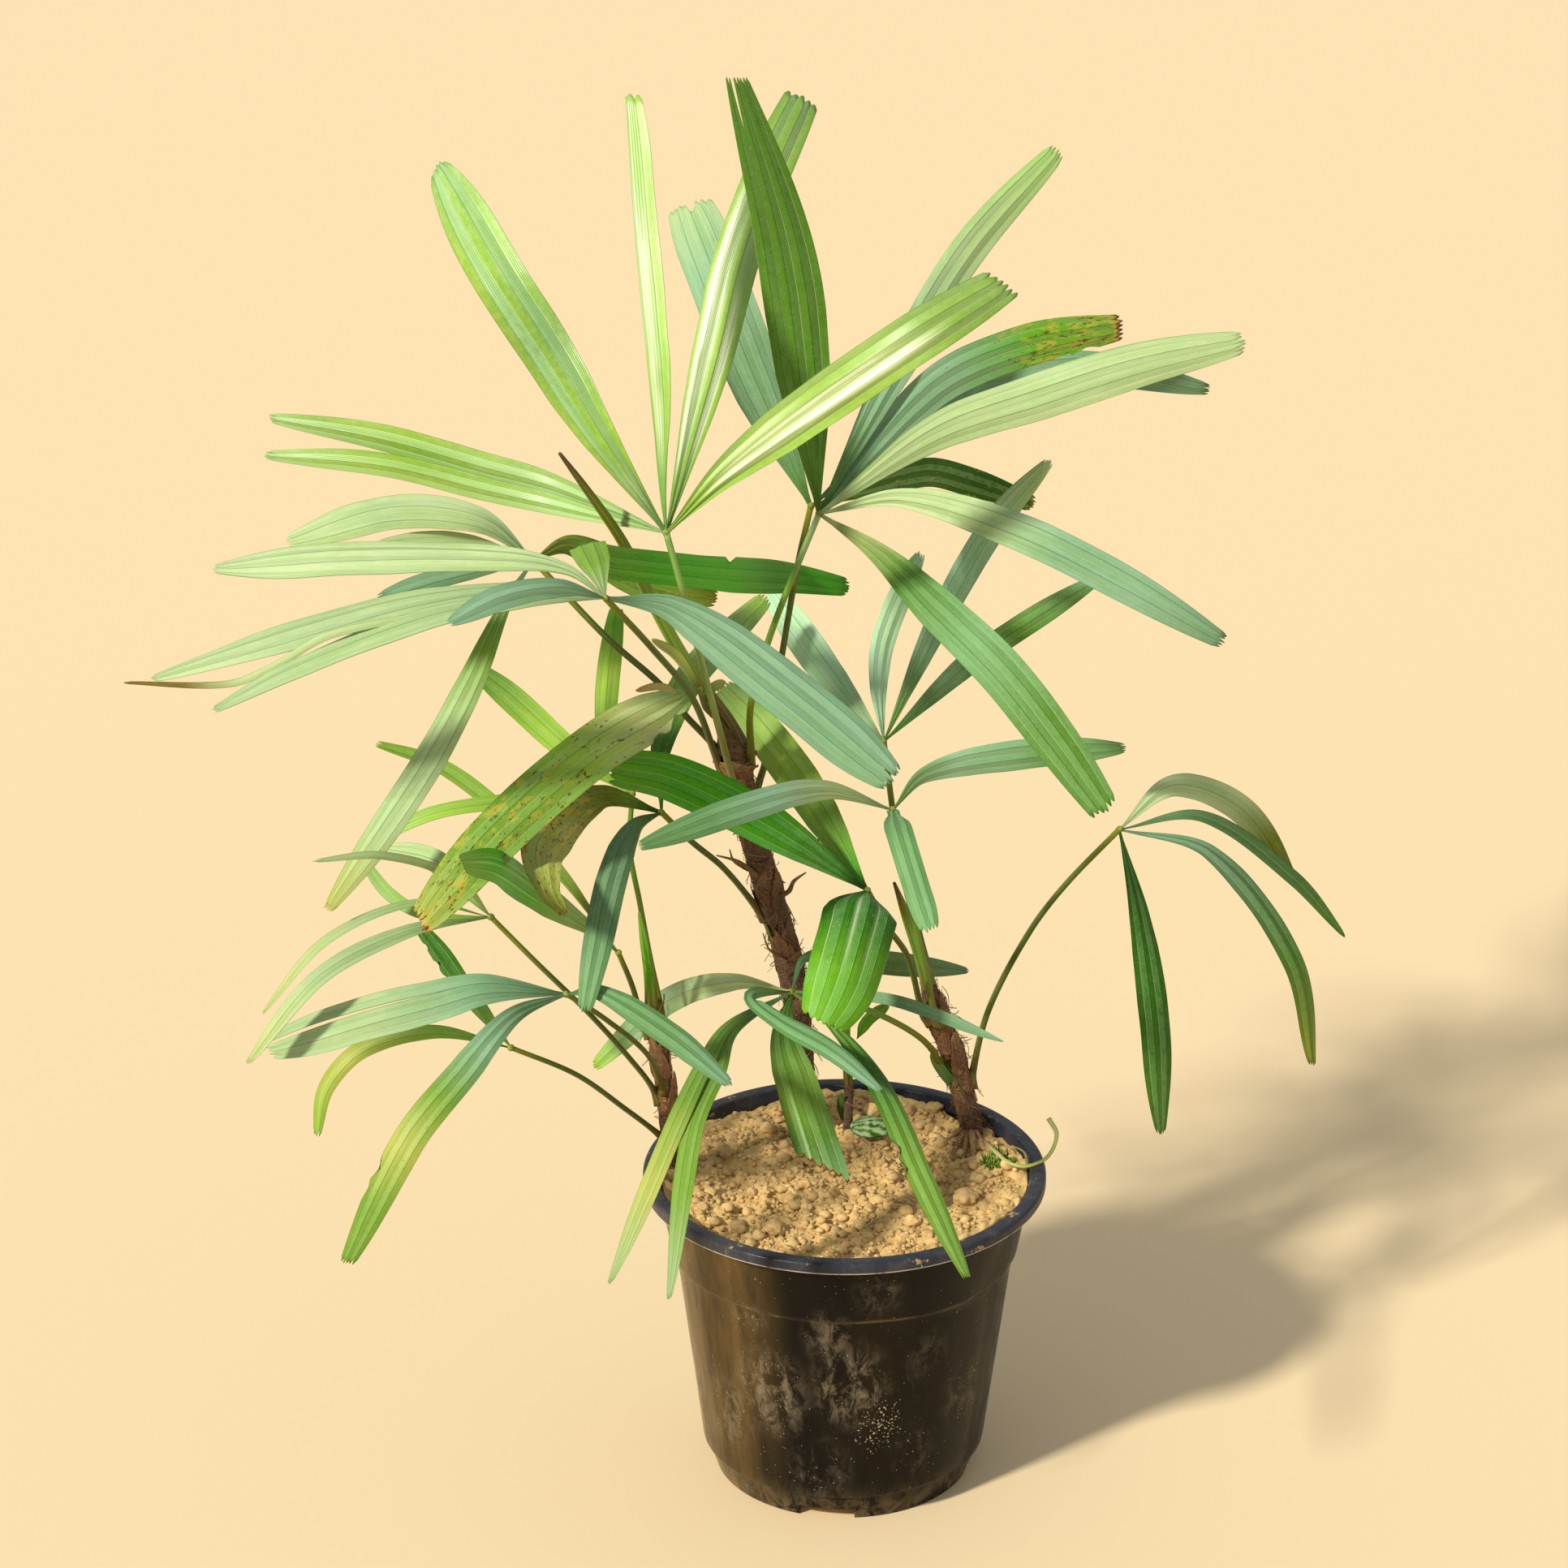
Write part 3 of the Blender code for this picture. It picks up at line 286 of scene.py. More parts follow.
leaflet("j", 11, 20, 3, "olive leaf leaf", (
    (695, 1081, 8), (612, 995, 34), (539, 942, 44), (463, 916, 46)), tip=0.4)
leaflet("j_leaflet_1", 25, -35, 6, "lime apple emerald emerald lime", (
    (738, 1151, -18), (655, 1095, -64), (612, 1068, -104), (568, 1064, -142)),
    tip=0.4, pleat=0.3,
    gloss=((1.6, 0.15, 0.35, 0.95, 0.3), (2.6, 0.15, 0.30, 0.98, 0.4), (4.4, 0.15, 0.4, 0.9, 0.3)))

leaflet("k", 15, 10, 4, "lime leaf lime vivid", (
    (750, 915, 32), (747, 860, 36), (760, 745, 42)), tip=0.5)
leaflet("k_leaflet_1", 18, 10, 5, "lime lime lime leaf bottle", (
    (706, 929, 40), (628, 859, 54), (578, 818, 62)), tip=0.4)
leaflet("k_leaflet_2", 12, -45, 3, "leaf leaf lime apple", (
    (738, 972, 20), (632, 985, 6), (529, 1002, 0), (440, 1048, 0)), tip=0.3)

leaflet("l", 17, -15, 4, "cream mint sage blue lime", (
    (905, 1210, 2), (820, 1235, 36), (731, 1315, 48)), tip=0.4, spots=0.3)
leaflet("l_leaflet_1", 16, 10, 4, "slate bottle deep slate", (
    (990, 1182, 0), (1040, 1180, 32), (1100, 1187, 70), (1194, 1196, 110)), tip=0.2)
leaflet("l", 8, 10, 2, "blue slate blue", (
    (1059, 1226, -22), (1120, 1238, -28), (1237, 1284, -32)), tip=0.1)
leaflet("l_leaflet_2", 17, 45, 5, "slate jade jade blue", (
    (928, 1229, -44), (960, 1256, -56), (1026, 1294, -74), (1086, 1344, -92)), tip=0.3, spots=0.3)
leaflet("l_leaflet_3", 14, -30, 5, "slate leaf leaf straw sage", (
    (900, 1262, -33), (868, 1310, -58), (832, 1385, -90), (750, 1583, -122)), tip=0.2)
leaflet("l_leaflet_3", 14, -30, 5, "slate leaf leaf leaf sage", (
    (906, 1268, -34), (884, 1318, -60), (852, 1395, -94), (824, 1601, -142)), tip=0.2)
leaflet("l_leaflet_4", 28, 10, 6, "bottle deep leaf deep jade", (
    (966, 1275, -24), (984, 1340, -36), (1024, 1464, -58)),
    tip=0.9, taper=0.9, teeth=5, round=0, slant=15, dry=2.2, splits=((3, 0.66, 0.05),), pleat=0.25,
    gloss=((1.6, 0.15, 0.45, 0.98, 0.35), (4.5, 0.12, 0.3, 0.8, 0.25)))
leaflet("l_leaflet_5", 17, 25, 5, "leaf bottle leaf leaf", (
    (1013, 1250, -28), (1080, 1331, -60), (1135, 1450, -104), (1192, 1575, -140)),
    tip=0.3, nicks=((0.60, -1, 0.5, 0.03), (0.66, -1, 0.4, 0.02)))

leaflet("m", 14, 0, 4, "leaf sage mint", (
    (570, 1092, -56), (535, 1060, -46), (470, 1045, -36)), tip=0.3)
leaflet("m", 5, 0, 1, "sage", ((560, 1080, -84), (471, 1054, -104), (385, 1061, -116)), tip=0.3)
leaflet("m_leaflet_1", 12, -30, 4, "leaf sage sage cream", (
    (503, 1147, -80), (392, 1204, -105), (304, 1311, -122)), tip=0.3)
leaflet("m_leaflet_1", 6, -20, 2, "leaf sage cream", (
    (513, 1112, -66), (401, 1159, -82), (323, 1249, -92)), tip=0.3)
leaflet("m_leaflet_1", 8, 0, 2, "leaf apple", (
    (530, 1128, -58), (478, 1100, -44), (438, 1045, -34)), tip=0.3)

leaflet("n", 27, -15, 6, "slate blue sage sage", (
    (600, 1218, -92), (530, 1234, -98), (450, 1254, -102), (328, 1292, -106)),
    tip=0.5, taper=0.75, splits=((2, 0.40, 0.12),), pleat=0.5)
leaflet("n_leaflet_1", 20, -10, 5, "blue slate blue leaf straw leaf leaf", (
    (631, 1252, -104), (568, 1324, -126), (504, 1404, -140), (426, 1558, -150)),
    tip=0.4, nicks=((0.74, -1, 0.3, 0.03), (0.80, -1, 0.2, 0.02)), spots=(0.1, 0.2, 0.5, 0.5))
leaflet("n_leaflet_2", 17, 25, 5, "slate jade jade blue", (
    (739, 1222, -92), (828, 1276, -99), (902, 1338, -106)), tip=0.3)

leaflet("o", 11, -10, 3, "deep leaf straw lime", (
    (535, 1271, -42), (446, 1293, -56), (402, 1340, -60), (390, 1400, -60)), tip=0.4)
leaflet("o_leaflet_1", 14, 30, 4, "leaf deep bottle bottle", (
    (575, 1222, -25), (540, 1172, -20), (515, 1140, -16)),
    tip=0.5, teeth=5, nicks=((0.60, 1, 0.4, 0.04), (0.72, 1, 0.5, 0.03), (0.86, 1, 0.45, 0.03)))

leaflet("p", 26, 10, 6, "vivid leaf lime apple", (
    (990, 970, 30), (930, 890, 54), (888, 845, 58)), tip=0.5)
leaflet("p", 30, 10, 6, "bottle bottle vivid vivid grass", (
    (950, 1020, -12), (830, 960, -18), (752, 945, -26)), tip=0.7, teeth=5, round=2)
leaflet("p_leaflet_1", 46, 5, 7, "bottle bottle grass grass", (
    (1064, 1118, -36), (1050, 1170, -54), (1034, 1220, -68), (1014, 1262, -76)),
    tip=0.6, taper=0.6, broad=0.2, teeth=4, wave=0.10, pleat=0.3, camber=0.4, bands=0.2,
    gloss=((5.0, 0.2, 0.1, 0.62, 0.25), (3.0, 0.2, 0.05, 0.7, 0.25)))


# How a leaflet is made: its mesh's rows, the samples on its middle line and how far that line's
# heading is smoothed, its thickness, the columns of a pleated strip, its outline at the base and
# the pleats' tilt in degrees from base to tip
ROWS = 56
SAMPLES = 240
SMOOTHING = 7
BLADE_THICKNESS = 0.40 * MM
HUB_RADIUS = 2.1 * MM
STRIP_COLUMNS = (0.0, 0.08, 0.36, 0.64, 0.92)
BROAD = 0.55
BASE_OUTLINE = (
    (0.0, 0.07), (0.04, 0.12), (0.08, 0.22), (0.16, 0.42), (0.26, 0.68), (0.38, 0.90), (BROAD, 1.0),
)
PLEAT_TILTS = (56, 46, 37, 30, 26, 24, 22, 20, 18, 17)
CREASE = 0.992
TEETH_SEED = 500
HUE_SEED = 900


def seen_at(across, down, back):
    """The point on a pixel's line of sight at a depth, drawn out about the crown's middle."""
    depth = CROWN_MIDDLE + (back - CROWN_MIDDLE) * CROWN_SPREAD
    right = (across - CENTRE) / FOCAL
    below = (down - CENTRE) / FOCAL
    ray = FORWARD - UPWARD * below + np.array((right, 0.0, 0.0))
    return EYE + ray * ((depth * MM - EYE[1]) / ray[1])


def seen_on(across, down, height):
    """The point on a pixel's line of sight at a height above the floor."""
    right = (across - CENTRE) / FOCAL
    below = (down - CENTRE) / FOCAL
    ray = FORWARD - UPWARD * below + np.array((right, 0.0, 0.0))
    return EYE + ray * ((height - EYE[2]) / ray[2])


def lengths_along(line):
    """How far along a line each of its points lies."""
    return np.concatenate(((0.0,), np.cumsum(np.linalg.norm(np.diff(line[:, :3], axis=0), axis=1))))


def curve_through(knots, count):
    """Evenly spaced points on a smooth curve through the knots, as rows of an array."""
    knots = np.asarray(knots, float)
    if len(knots) == 2:
        shares = np.linspace(0.0, 1.0, count + 1)[:, None]
        return knots[0] + (knots[1] - knots[0]) * shares
    ends = np.vstack((2 * knots[0] - knots[1], knots, 2 * knots[-1] - knots[-2]))
    t = np.linspace(0.0, 1.0, 40, endpoint=False)[:, None]
    fine = []
    for before, start, stop, after in zip(ends, ends[1:], ends[2:], ends[3:]):
        reach = np.linalg.norm(stop - start)
        lead = (stop - before) * reach / (np.linalg.norm(start - before) + reach)
        trail = (after - start) * reach / (np.linalg.norm(after - stop) + reach)
        fine.append(start * (2 * t**3 - 3 * t**2 + 1) + lead * (t**3 - 2 * t**2 + t)
                    + stop * (3 * t**2 - 2 * t**3) + trail * (t**3 - t**2))
    fine = np.vstack(fine + [knots[-1:]])
    lengths = lengths_along(fine)
    wanted = np.linspace(0.0, lengths[-1], count + 1)
    return np.stack([np.interp(wanted, lengths, column) for column in fine.T], axis=1)


def unit(vectors):
    """The vectors, made one long."""
    return vectors / np.maximum(np.linalg.norm(vectors, axis=-1, keepdims=True), 1e-12)


def layered(*parts):
    """Arrays or numbers side by side along a new last axis."""
    return np.stack(np.broadcast_arrays(*parts), axis=-1)


def circle(count, joined=False):
    """Angles evenly around a full turn, with the first one again at the end if joined."""
    return np.linspace(0.0, 2.0 * math.pi, count, endpoint=joined)


def compass(degrees):
    """The level direction that faces so many degrees, counted from +X towards +Y."""
    return np.array((math.cos(math.radians(degrees)), math.sin(math.radians(degrees)), 0.0))


def read(table, shares):
    """Reads a table of (share, value) rows at each of the given shares."""
    table = np.asarray(table, float)
    return np.interp(shares, table[:, 0], table[:, 1])


def spread(values, shares):
    """Reads values that lie evenly from base to tip, at each of the given shares."""
    values = np.atleast_1d(np.asarray(values, float))
    return np.interp(shares, np.linspace(0.0, 1.0, len(values)), values)


def tone_rows(tones, side=0):
    """The colours of the named tones, one row each."""
    return np.array([TONES[name][side] for name in tones])


def spread_rows(table, shares):
    """Reads rows of numbers that lie evenly from base to tip, at each of the given shares."""
    return np.stack([spread(column, shares) for column in np.asarray(table, float).T], axis=-1)


# Large odd numbers that scramble a noise cell's place and seed
CELL_PRIMES = np.array((73856093, 19349663, 83492791))
SEED_PRIME = 961748927
MIX_PRIME = 1274126177


def value_noise(points, scale, seed=0):
    """Smooth noise from -1 to 1 at each point, with features of 1 / scale metres."""
    cell = points * scale
    low = np.floor(cell).astype(np.int64)
    part = cell - low
    part = part * part * (3.0 - 2.0 * part)
    total = np.zeros(points.shape[:-1])
    for corner in range(8):
        shift = np.array((corner & 1, (corner >> 1) & 1, corner >> 2))
        key = (low + shift) * CELL_PRIMES
        mixed = key[..., 0] ^ key[..., 1] ^ key[..., 2] ^ (seed * SEED_PRIME)
        mixed = (mixed ^ (mixed >> 13)) * MIX_PRIME
        mixed = mixed ^ (mixed >> 16)
        value = (mixed & 0xFFFF) / 32767.5 - 1.0
        weight = np.prod(np.where(shift, part, 1.0 - part), axis=-1)
        total += value * weight
    return total


def fractal(points, scale, octaves, seed=0):
    """Noise with finer and fainter layers on top."""
    total = np.zeros(points.shape[:-1])
    for octave in range(octaves):
        total += value_noise(points, scale * 2**octave, seed + octave) * 0.5**octave
    return total


class Piece:
    """Gathers patches of mesh. Each vertex has a colour, its marks (wear, painted facet shading and
    painted gloss highlights) and its grain: a number that counts across the fibres, the way along
    them, and the way across."""

    def __init__(self):
        self.points, self.faces, self.tints, self.marks, self.grains = [], [], [], [], []
        self.count = 0

    def add(self, points, faces, tints, marks=(0.0, 0.0, 0.0), grain=(0.0, 0.0, 0.0)):
        points = np.asarray(points, float).reshape(-1, 3)
        self.points.append(points)
        self.faces += [[corner + self.count for corner in face] for face in faces]
        for store, values in ((self.tints, tints), (self.marks, marks), (self.grains, grain)):
            store.append(np.broadcast_to(np.asarray(values, float).reshape(-1, 3), points.shape))
        self.count += len(points)

    def finish(self, name, material, slot, *nodes):
        """Makes the object, and lets it stand for the CAD nodes named."""
        mesh = bpy.data.meshes.new(name)
        mesh.from_pydata(np.vstack(self.points).tolist(), [], self.faces)
        tint = mesh.attributes.new("tint", "FLOAT_COLOR", "POINT")
        opaque = np.hstack((np.vstack(self.tints), np.ones((self.count, 1))))
        tint.data.foreach_set("color", opaque.astype(np.float32).ravel())
        for key, rows in (("marks", self.marks), ("grain", self.grains)):
            values = mesh.attributes.new(key, "FLOAT_VECTOR", "POINT")
            values.data.foreach_set("vector", np.vstack(rows).astype(np.float32).ravel())
        mesh.polygons.foreach_set("use_smooth", np.ones(len(mesh.polygons), bool))
        mesh.materials.append(material)
        mesh.update()
        item = bpy.data.objects.new(name, mesh)
        bpy.context.scene.collection.objects.link(item)
        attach(item, "root")
        if nodes:
            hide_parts(*nodes)
        return item


def grid_faces(rows, columns, start=0, round_rows=False):
    """Four-sided faces over a grid of vertices, closed around each row if asked."""
    index = np.arange(rows * columns).reshape(rows, columns) + start
    if round_rows:
        index = np.hstack((index, index[:, :1]))
    corners = (index[:-1, :-1], index[:-1, 1:], index[1:, 1:], index[1:, :-1])
    return np.stack(corners, axis=-1).reshape(-1, 4).tolist()


def tube_faces(rows, sides):
    """Faces over rings of vertices, closed by the two end points that follow them."""
    faces = [face[::-1] for face in grid_faces(rows, sides, round_rows=True)]
    low, high, last = rows * sides, rows * sides + 1, (rows - 1) * sides
    for i in range(sides):
        j = (i + 1) % sides
        faces += [[low, i, j], [high, last + j, last + i]]
    return faces


def shell_faces(rows, columns):
    """Faces of a closed shell: a front grid, a back grid after it, and the edge between them."""
    size = rows * columns
    front = grid_faces(rows, columns)
    back = [face[::-1] for face in grid_faces(rows, columns, size)]
    index = np.arange(size).reshape(rows, columns)
    rim = np.concatenate((index[0, :-1], index[:-1, -1], index[-1, :0:-1], index[:0:-1, 0]))
    following = np.roll(rim, -1)
    edge = np.stack((following, rim, rim + size, following + size), axis=-1).tolist()
    return front + back + edge


def frames_along(line):
    """At each point of a line: the way ahead, the way across for the viewer, and the way off."""
    ahead = np.gradient(line, axis=0)
    reach = SMOOTHING
    padded = np.vstack((np.repeat(ahead[:1], reach, 0), ahead, np.repeat(ahead[-1:], reach, 0)))
    kernel = np.ones(2 * reach + 1) / (2 * reach + 1)
    ahead = unit(np.stack([np.convolve(padded[:, i], kernel, "valid") for i in range(3)], axis=1))
    across = unit(np.cross(ahead, line - EYE))
    away = np.cross(across, ahead)
    return ahead, across, away


def leaf_ends(leaf, strip, across, length):
    """How far along each column of a leaflet runs, as a share: a blunt end with small teeth."""
    rng = np.random.default_rng(TEETH_SEED + leaf["number"])
    halves = np.arange(2 * leaf["strips"] + 1)
    jag = np.where(halves % 2, rng.uniform(0.0, 0.45, len(halves)), rng.uniform(0.6, 1.3, len(halves)))
    ends = length - leaf.get("teeth", 5.0) * MM * np.interp(2.0 * strip, halves, jag)
    ends = ends - leaf.get("round", 1.5) * MM * across**2 + leaf.get("slant", 0.0) * MM * across
    for place, depth, wide in leaf.get("bites", ()):
        ends = ends - depth * MM * np.exp(-(((across - place) / wide) ** 2))
    return ends / ends.max()


def leaf_width(leaf, shares):
    """Share of a leaflet's full width at each share of its length."""
    taper = leaf.get("taper", 0.66)
    rise = read(BASE_OUTLINE, shares * BROAD / leaf.get("broad", BROAD))
    part = np.clip((shares - taper) / (1.0 - taper), 0.0, 1.0)
    fall = (1.0 - leaf.get("tip", 0.3)) * part ** leaf.get("point", 2.2)
    return np.maximum(rise, leaf.get("base", 0.0)) * (1.0 - fall)


def add_blade(piece, leaf, hub=None):
    """Adds one leaflet: a thin closed blade in pleated strips, bent along its line. It starts at
    the hub unless it is free."""
    knots = [seen_at(*point) for point in leaf["path"]]
    if not leaf.get("free"):
        knots.insert(0, hub)
    line = curve_through(knots, SAMPLES)
    length = lengths_along(line)[-1]
    strips = leaf["strips"]
    strip = np.array([i + part for i in range(strips) for part in STRIP_COLUMNS] + [strips], float)
    splits = leaf.get("splits", ())
    cuts = [0] + [int(round(cut * len(STRIP_COLUMNS))) for cut, _, _ in splits] + [len(strip) - 1]
    gaps = [(1.0, 0.0)] + [(start, gap) for _, start, gap in splits] + [(1.0, 0.0)]
    ends = leaf_ends(leaf, strip, 2.0 * strip / strips - 1.0, length)
    for low, high, before, after in zip(cuts, cuts[1:], gaps, gaps[1:]):
        add_strips(piece, leaf, strip[low:high + 1], ends[low:high + 1], (before, after), line, length)


def add_strips(piece, leaf, strip, ends, gaps, line, length):
    """Adds the part of a leaflet between two splits. Each gap starts at a share of the length
    and opens towards the tip."""
    _, side, away = frames_along(line)
    strips = leaf["strips"]
    across = 2.0 * strip / strips - 1.0
    rows = np.linspace(0.0, 1.0, ROWS + 1) ** 1.1
    shares = rows[:, None] * ends[None, :]
    placed = (across - across[0]) / (across[-1] - across[0])
    opened = [gap * np.clip((shares - start) / max(1.0 - start, 0.01), 0.0, 1.0) for start, gap in gaps]
    inner = across + opened[0] * (1.0 - placed) - opened[1] * placed
    for start, edge, depth, wide in leaf.get("nicks", ()):
        cut = depth * np.clip(1.0 - np.abs(shares - start) / wide, 0.0, 1.0)
        inner = np.where(inner * edge > 1.0 - cut, edge * (1.0 - cut), inner)
    half = leaf["width"] * MM * 0.5 * leaf_width(leaf, shares)
    fold = np.radians(spread(leaf.get("fold", 0.0), shares)) * np.clip(shares * 4.0, 0.0, 1.0)
    tilt = np.tan(np.radians(spread(PLEAT_TILTS, shares) * leaf.get("pleat", 0.55)))
    pleat = 0.5 - np.arcsin(CREASE * np.cos(np.pi * strip)) / (2.0 * math.asin(CREASE))
    lift = tilt * (2.0 * half / strips) * (pleat - 0.5)
    lift = lift + leaf.get("camber", 0.16) * half * inner**2
    phase = leaf["number"] * 1.7
    wave = leaf.get("wave", 0.05)
    lift = lift + wave * half * np.sin(shares * 9.0 + phase) * inner
    lift = lift + wave * half * 0.6 * np.sin(shares * 21.0 + phase * 2.0 + inner * 2.0) * inner**2
    lift = lift + half * np.abs(inner) * np.sin(fold)
    sideways = half * inner * np.cos(fold)
    turn = np.radians(spread(leaf["turn"], shares))[..., None]
    middle, flat, off = [spread_rows(samples, shares) for samples in (line, side, away)]
    outward = flat * np.cos(turn) + off * np.sin(turn)
    deep = off * np.cos(turn) - flat * np.sin(turn)
    points = middle + outward * sideways[..., None] + deep * lift[..., None]
    normal = unit(np.cross(np.gradient(points, axis=1), np.gradient(points, axis=0)))
    normal = np.where((normal * deep).sum(-1, keepdims=True) > 0.0, -normal, normal)
    skin = normal * BLADE_THICKNESS / 2.0
    shell = np.concatenate((points + skin, points - skin))
    hue = np.random.default_rng(HUE_SEED + leaf["number"]).uniform(0.93, 1.07)
    tints = [spread_rows(tone_rows(leaf["tones"], k), shares).reshape(-1, 3) for k in (0, 1)]
    tints = np.concatenate(tints) * hue
    # Painted gloss: near-white highlight stripes along chosen strips, standing in for the sun's glints
    gloss = np.zeros(shares.shape)
    for centre, wide, start, stop, strength in leaf.get("gloss", ()):
        mask = strength * np.exp(-(((strip - centre) / wide) ** 4))
        mask = mask * np.clip((shares - start) * 9.0, 0.0, 1.0)
        mask = mask * np.clip((stop - shares) * 7.0, 0.0, 1.0)
        gloss = np.maximum(gloss, mask)
    dry = leaf.get("dry", 0.5) * np.clip((rows[:, None] - 0.975) / 0.025, 0.0, 1.0)
    wear = spread(leaf.get("spots", 0.08), shares) + dry
    # Painted facet shading: how strongly alternate facets get a painted sky sheen or painted shade
    marks = layered(wear, leaf.get("bands", 0.12), gloss)
    grain = layered(strip + 20.0 * leaf["number"], shares * length, inner)
    piece.add(shell, shell_faces(*shares.shape), tints, np.concatenate((marks, marks)),
              np.concatenate((grain, grain)))


def rings_along(line, radii, sides, profile=None):
    """Rings of points around a line, turned as little as can be from one to the next."""
    ahead = unit(np.gradient(line, axis=0))
    start = np.cross(ahead[0], (0.0, 0.0, 1.0))
    if np.linalg.norm(start) < 0.1:
        start = np.cross(ahead[0], (1.0, 0.0, 0.0))
    side = unit(start)
    angles = circle(sides)[:, None]
    rings = []
    for number, (point, heading) in enumerate(zip(line, ahead)):
        side = unit(side - heading * side.dot(heading))
        up = np.cross(heading, side)
        reach = radii[number] if profile is None else radii[number] * profile[number]
        reach = np.broadcast_to(reach, (sides,))[:, None]
        rings.append(point + (side * np.cos(angles) + up * np.sin(angles)) * reach)
    return np.array(rings)


def add_tube(piece, line, radii, sides, tints, wear=0.0, profile=None, lines=6.0, number=0,
             painted_shading=None):
    """Adds a closed round or ribbed tube, with its colours given from one end to the other and scaled by
    a painted shading if one is given.
    """
    line = np.asarray(line, float)
    radii = np.broadcast_to(np.asarray(radii, float), (len(line),))
    rings = rings_along(line, radii, sides, profile)
    count = len(line)
    shares = np.linspace(0.0, 1.0, count)
    colours = np.repeat(spread_rows(np.atleast_2d(tints), shares), sides, axis=0)
    if painted_shading is not None:
        colours = colours * painted_shading.reshape(-1, 1)
    colours = np.vstack((colours, colours[:1], colours[-1:]))
    points = np.vstack((rings.reshape(-1, 3), line[:1], line[-1:]))
    around = np.tile(np.abs(np.linspace(-lines, lines, sides)), count) + 40.0 * number + 0.3
    grain = layered(around, np.repeat(lengths_along(line), sides), 0.0)
    grain = np.vstack((grain, grain[:1], grain[-1:]))
    piece.add(points, tube_faces(count, sides), colours, (wear, 0.0, 0.0), grain)


def soil_point(across, back):
    """The point on the soil in a pixel column, so many millimetres behind the pot's axis."""
    point = np.array((0.0, back * MM, SOIL_LEVEL))
    point[0] = EYE[0] + (across - CENTRE) / FOCAL * (point - EYE).dot(FORWARD)
    return point


# Above this height over its foot, in metres, a stem has the radius of its first point
FLARE_HEIGHT = 0.012


def stem_line(name, count=400):
    """Points along a stem from the soil to its tip, with the radius as a fourth number."""
    stem = STEMS[name]
    across, back, radius = stem["foot"]
    foot = soil_point(across, back)
    knots = [(*foot, radius * MM), (*(foot + (0.0, 0.0, FLARE_HEIGHT)), stem["path"][0][3] * MM)]
    for across, down, back, radius in stem["path"]:
        knots.append((*seen_at(across, down, back), radius * MM))
    return curve_through(knots, count)


def seen_in_row(line, row):
    """Which point of a line is seen in a pixel row."""
    offset = line[:, :3] - EYE
    rows = CENTRE - FOCAL * (offset @ UPWARD) / (offset @ FORWARD)
    return int(np.abs(rows - row).argmin())


def facing_out(along, degrees):
    """The way off a stem's surface, square to the stem, on the side that faces so many degrees."""
    outward = compass(degrees)
    return unit(outward - along * outward.dot(along))


def stalk_knots(frond):
    """Points along a stalk, from inside its stem's bark to its hub."""
    stem, row, side, radius, path = STALKS[frond]
    line = stem_line(stem + "_stem")
    nearest = seen_in_row(line, row)
    along = unit(line[nearest + 4, :3] - line[nearest - 4, :3])
    outward = facing_out(along, side)
    root = line[nearest, :3] + outward * line[nearest, 3] * STALK_DEEP
    start = [root - along * STALK_BELOW, root + along * STALK_ABOVE + outward * radius * MM * 1.2]
    return start + [seen_at(*point) for point in path]


def add_stalk(piece, frond):
    """Adds a stalk that widens where it clasps its stem, and the small lump that is its hub."""
    radius = STALKS[frond][3] * MM
    line = curve_through(stalk_knots(frond), 60)
    gone = lengths_along(line)
    radii = radius * (1.0 + CLASP_WIDER * np.exp(-gone / CLASP_FADE) - 0.12 * gone / gone[-1])
    number = ord(frond) - ord("a")
    tones = tone_rows(STALK_TONES.get(frond, COMMON_STALK_TONES).split())
    add_tube(piece, line, radii, STALK_SIDES, tones, wear=0.15, lines=3.0, number=number)
    heading = unit(line[-1] - line[-3])
    steps = np.linspace(-1.0, 1.0, 11)
    lump = line[-1] + heading * steps[:, None] * HUB_RADIUS * 1.3
    radii = HUB_RADIUS * np.sqrt(np.clip(1.0 - steps**2, 0.02, 1.0))
    ribs = 1.0 + 0.10 * np.sin(5.0 * circle(HUB_SIDES))[None] * np.ones((len(steps), 1))
    add_tube(piece, lump, radii, HUB_SIDES, tone_rows(("leaf", "olive", "straw")), wear=0.1,
             profile=ribs, number=number)


def stalk_hub(frond):
    """The point where a stalk ends and its leaflets start."""
    return seen_at(*STALKS[frond][4][-1])


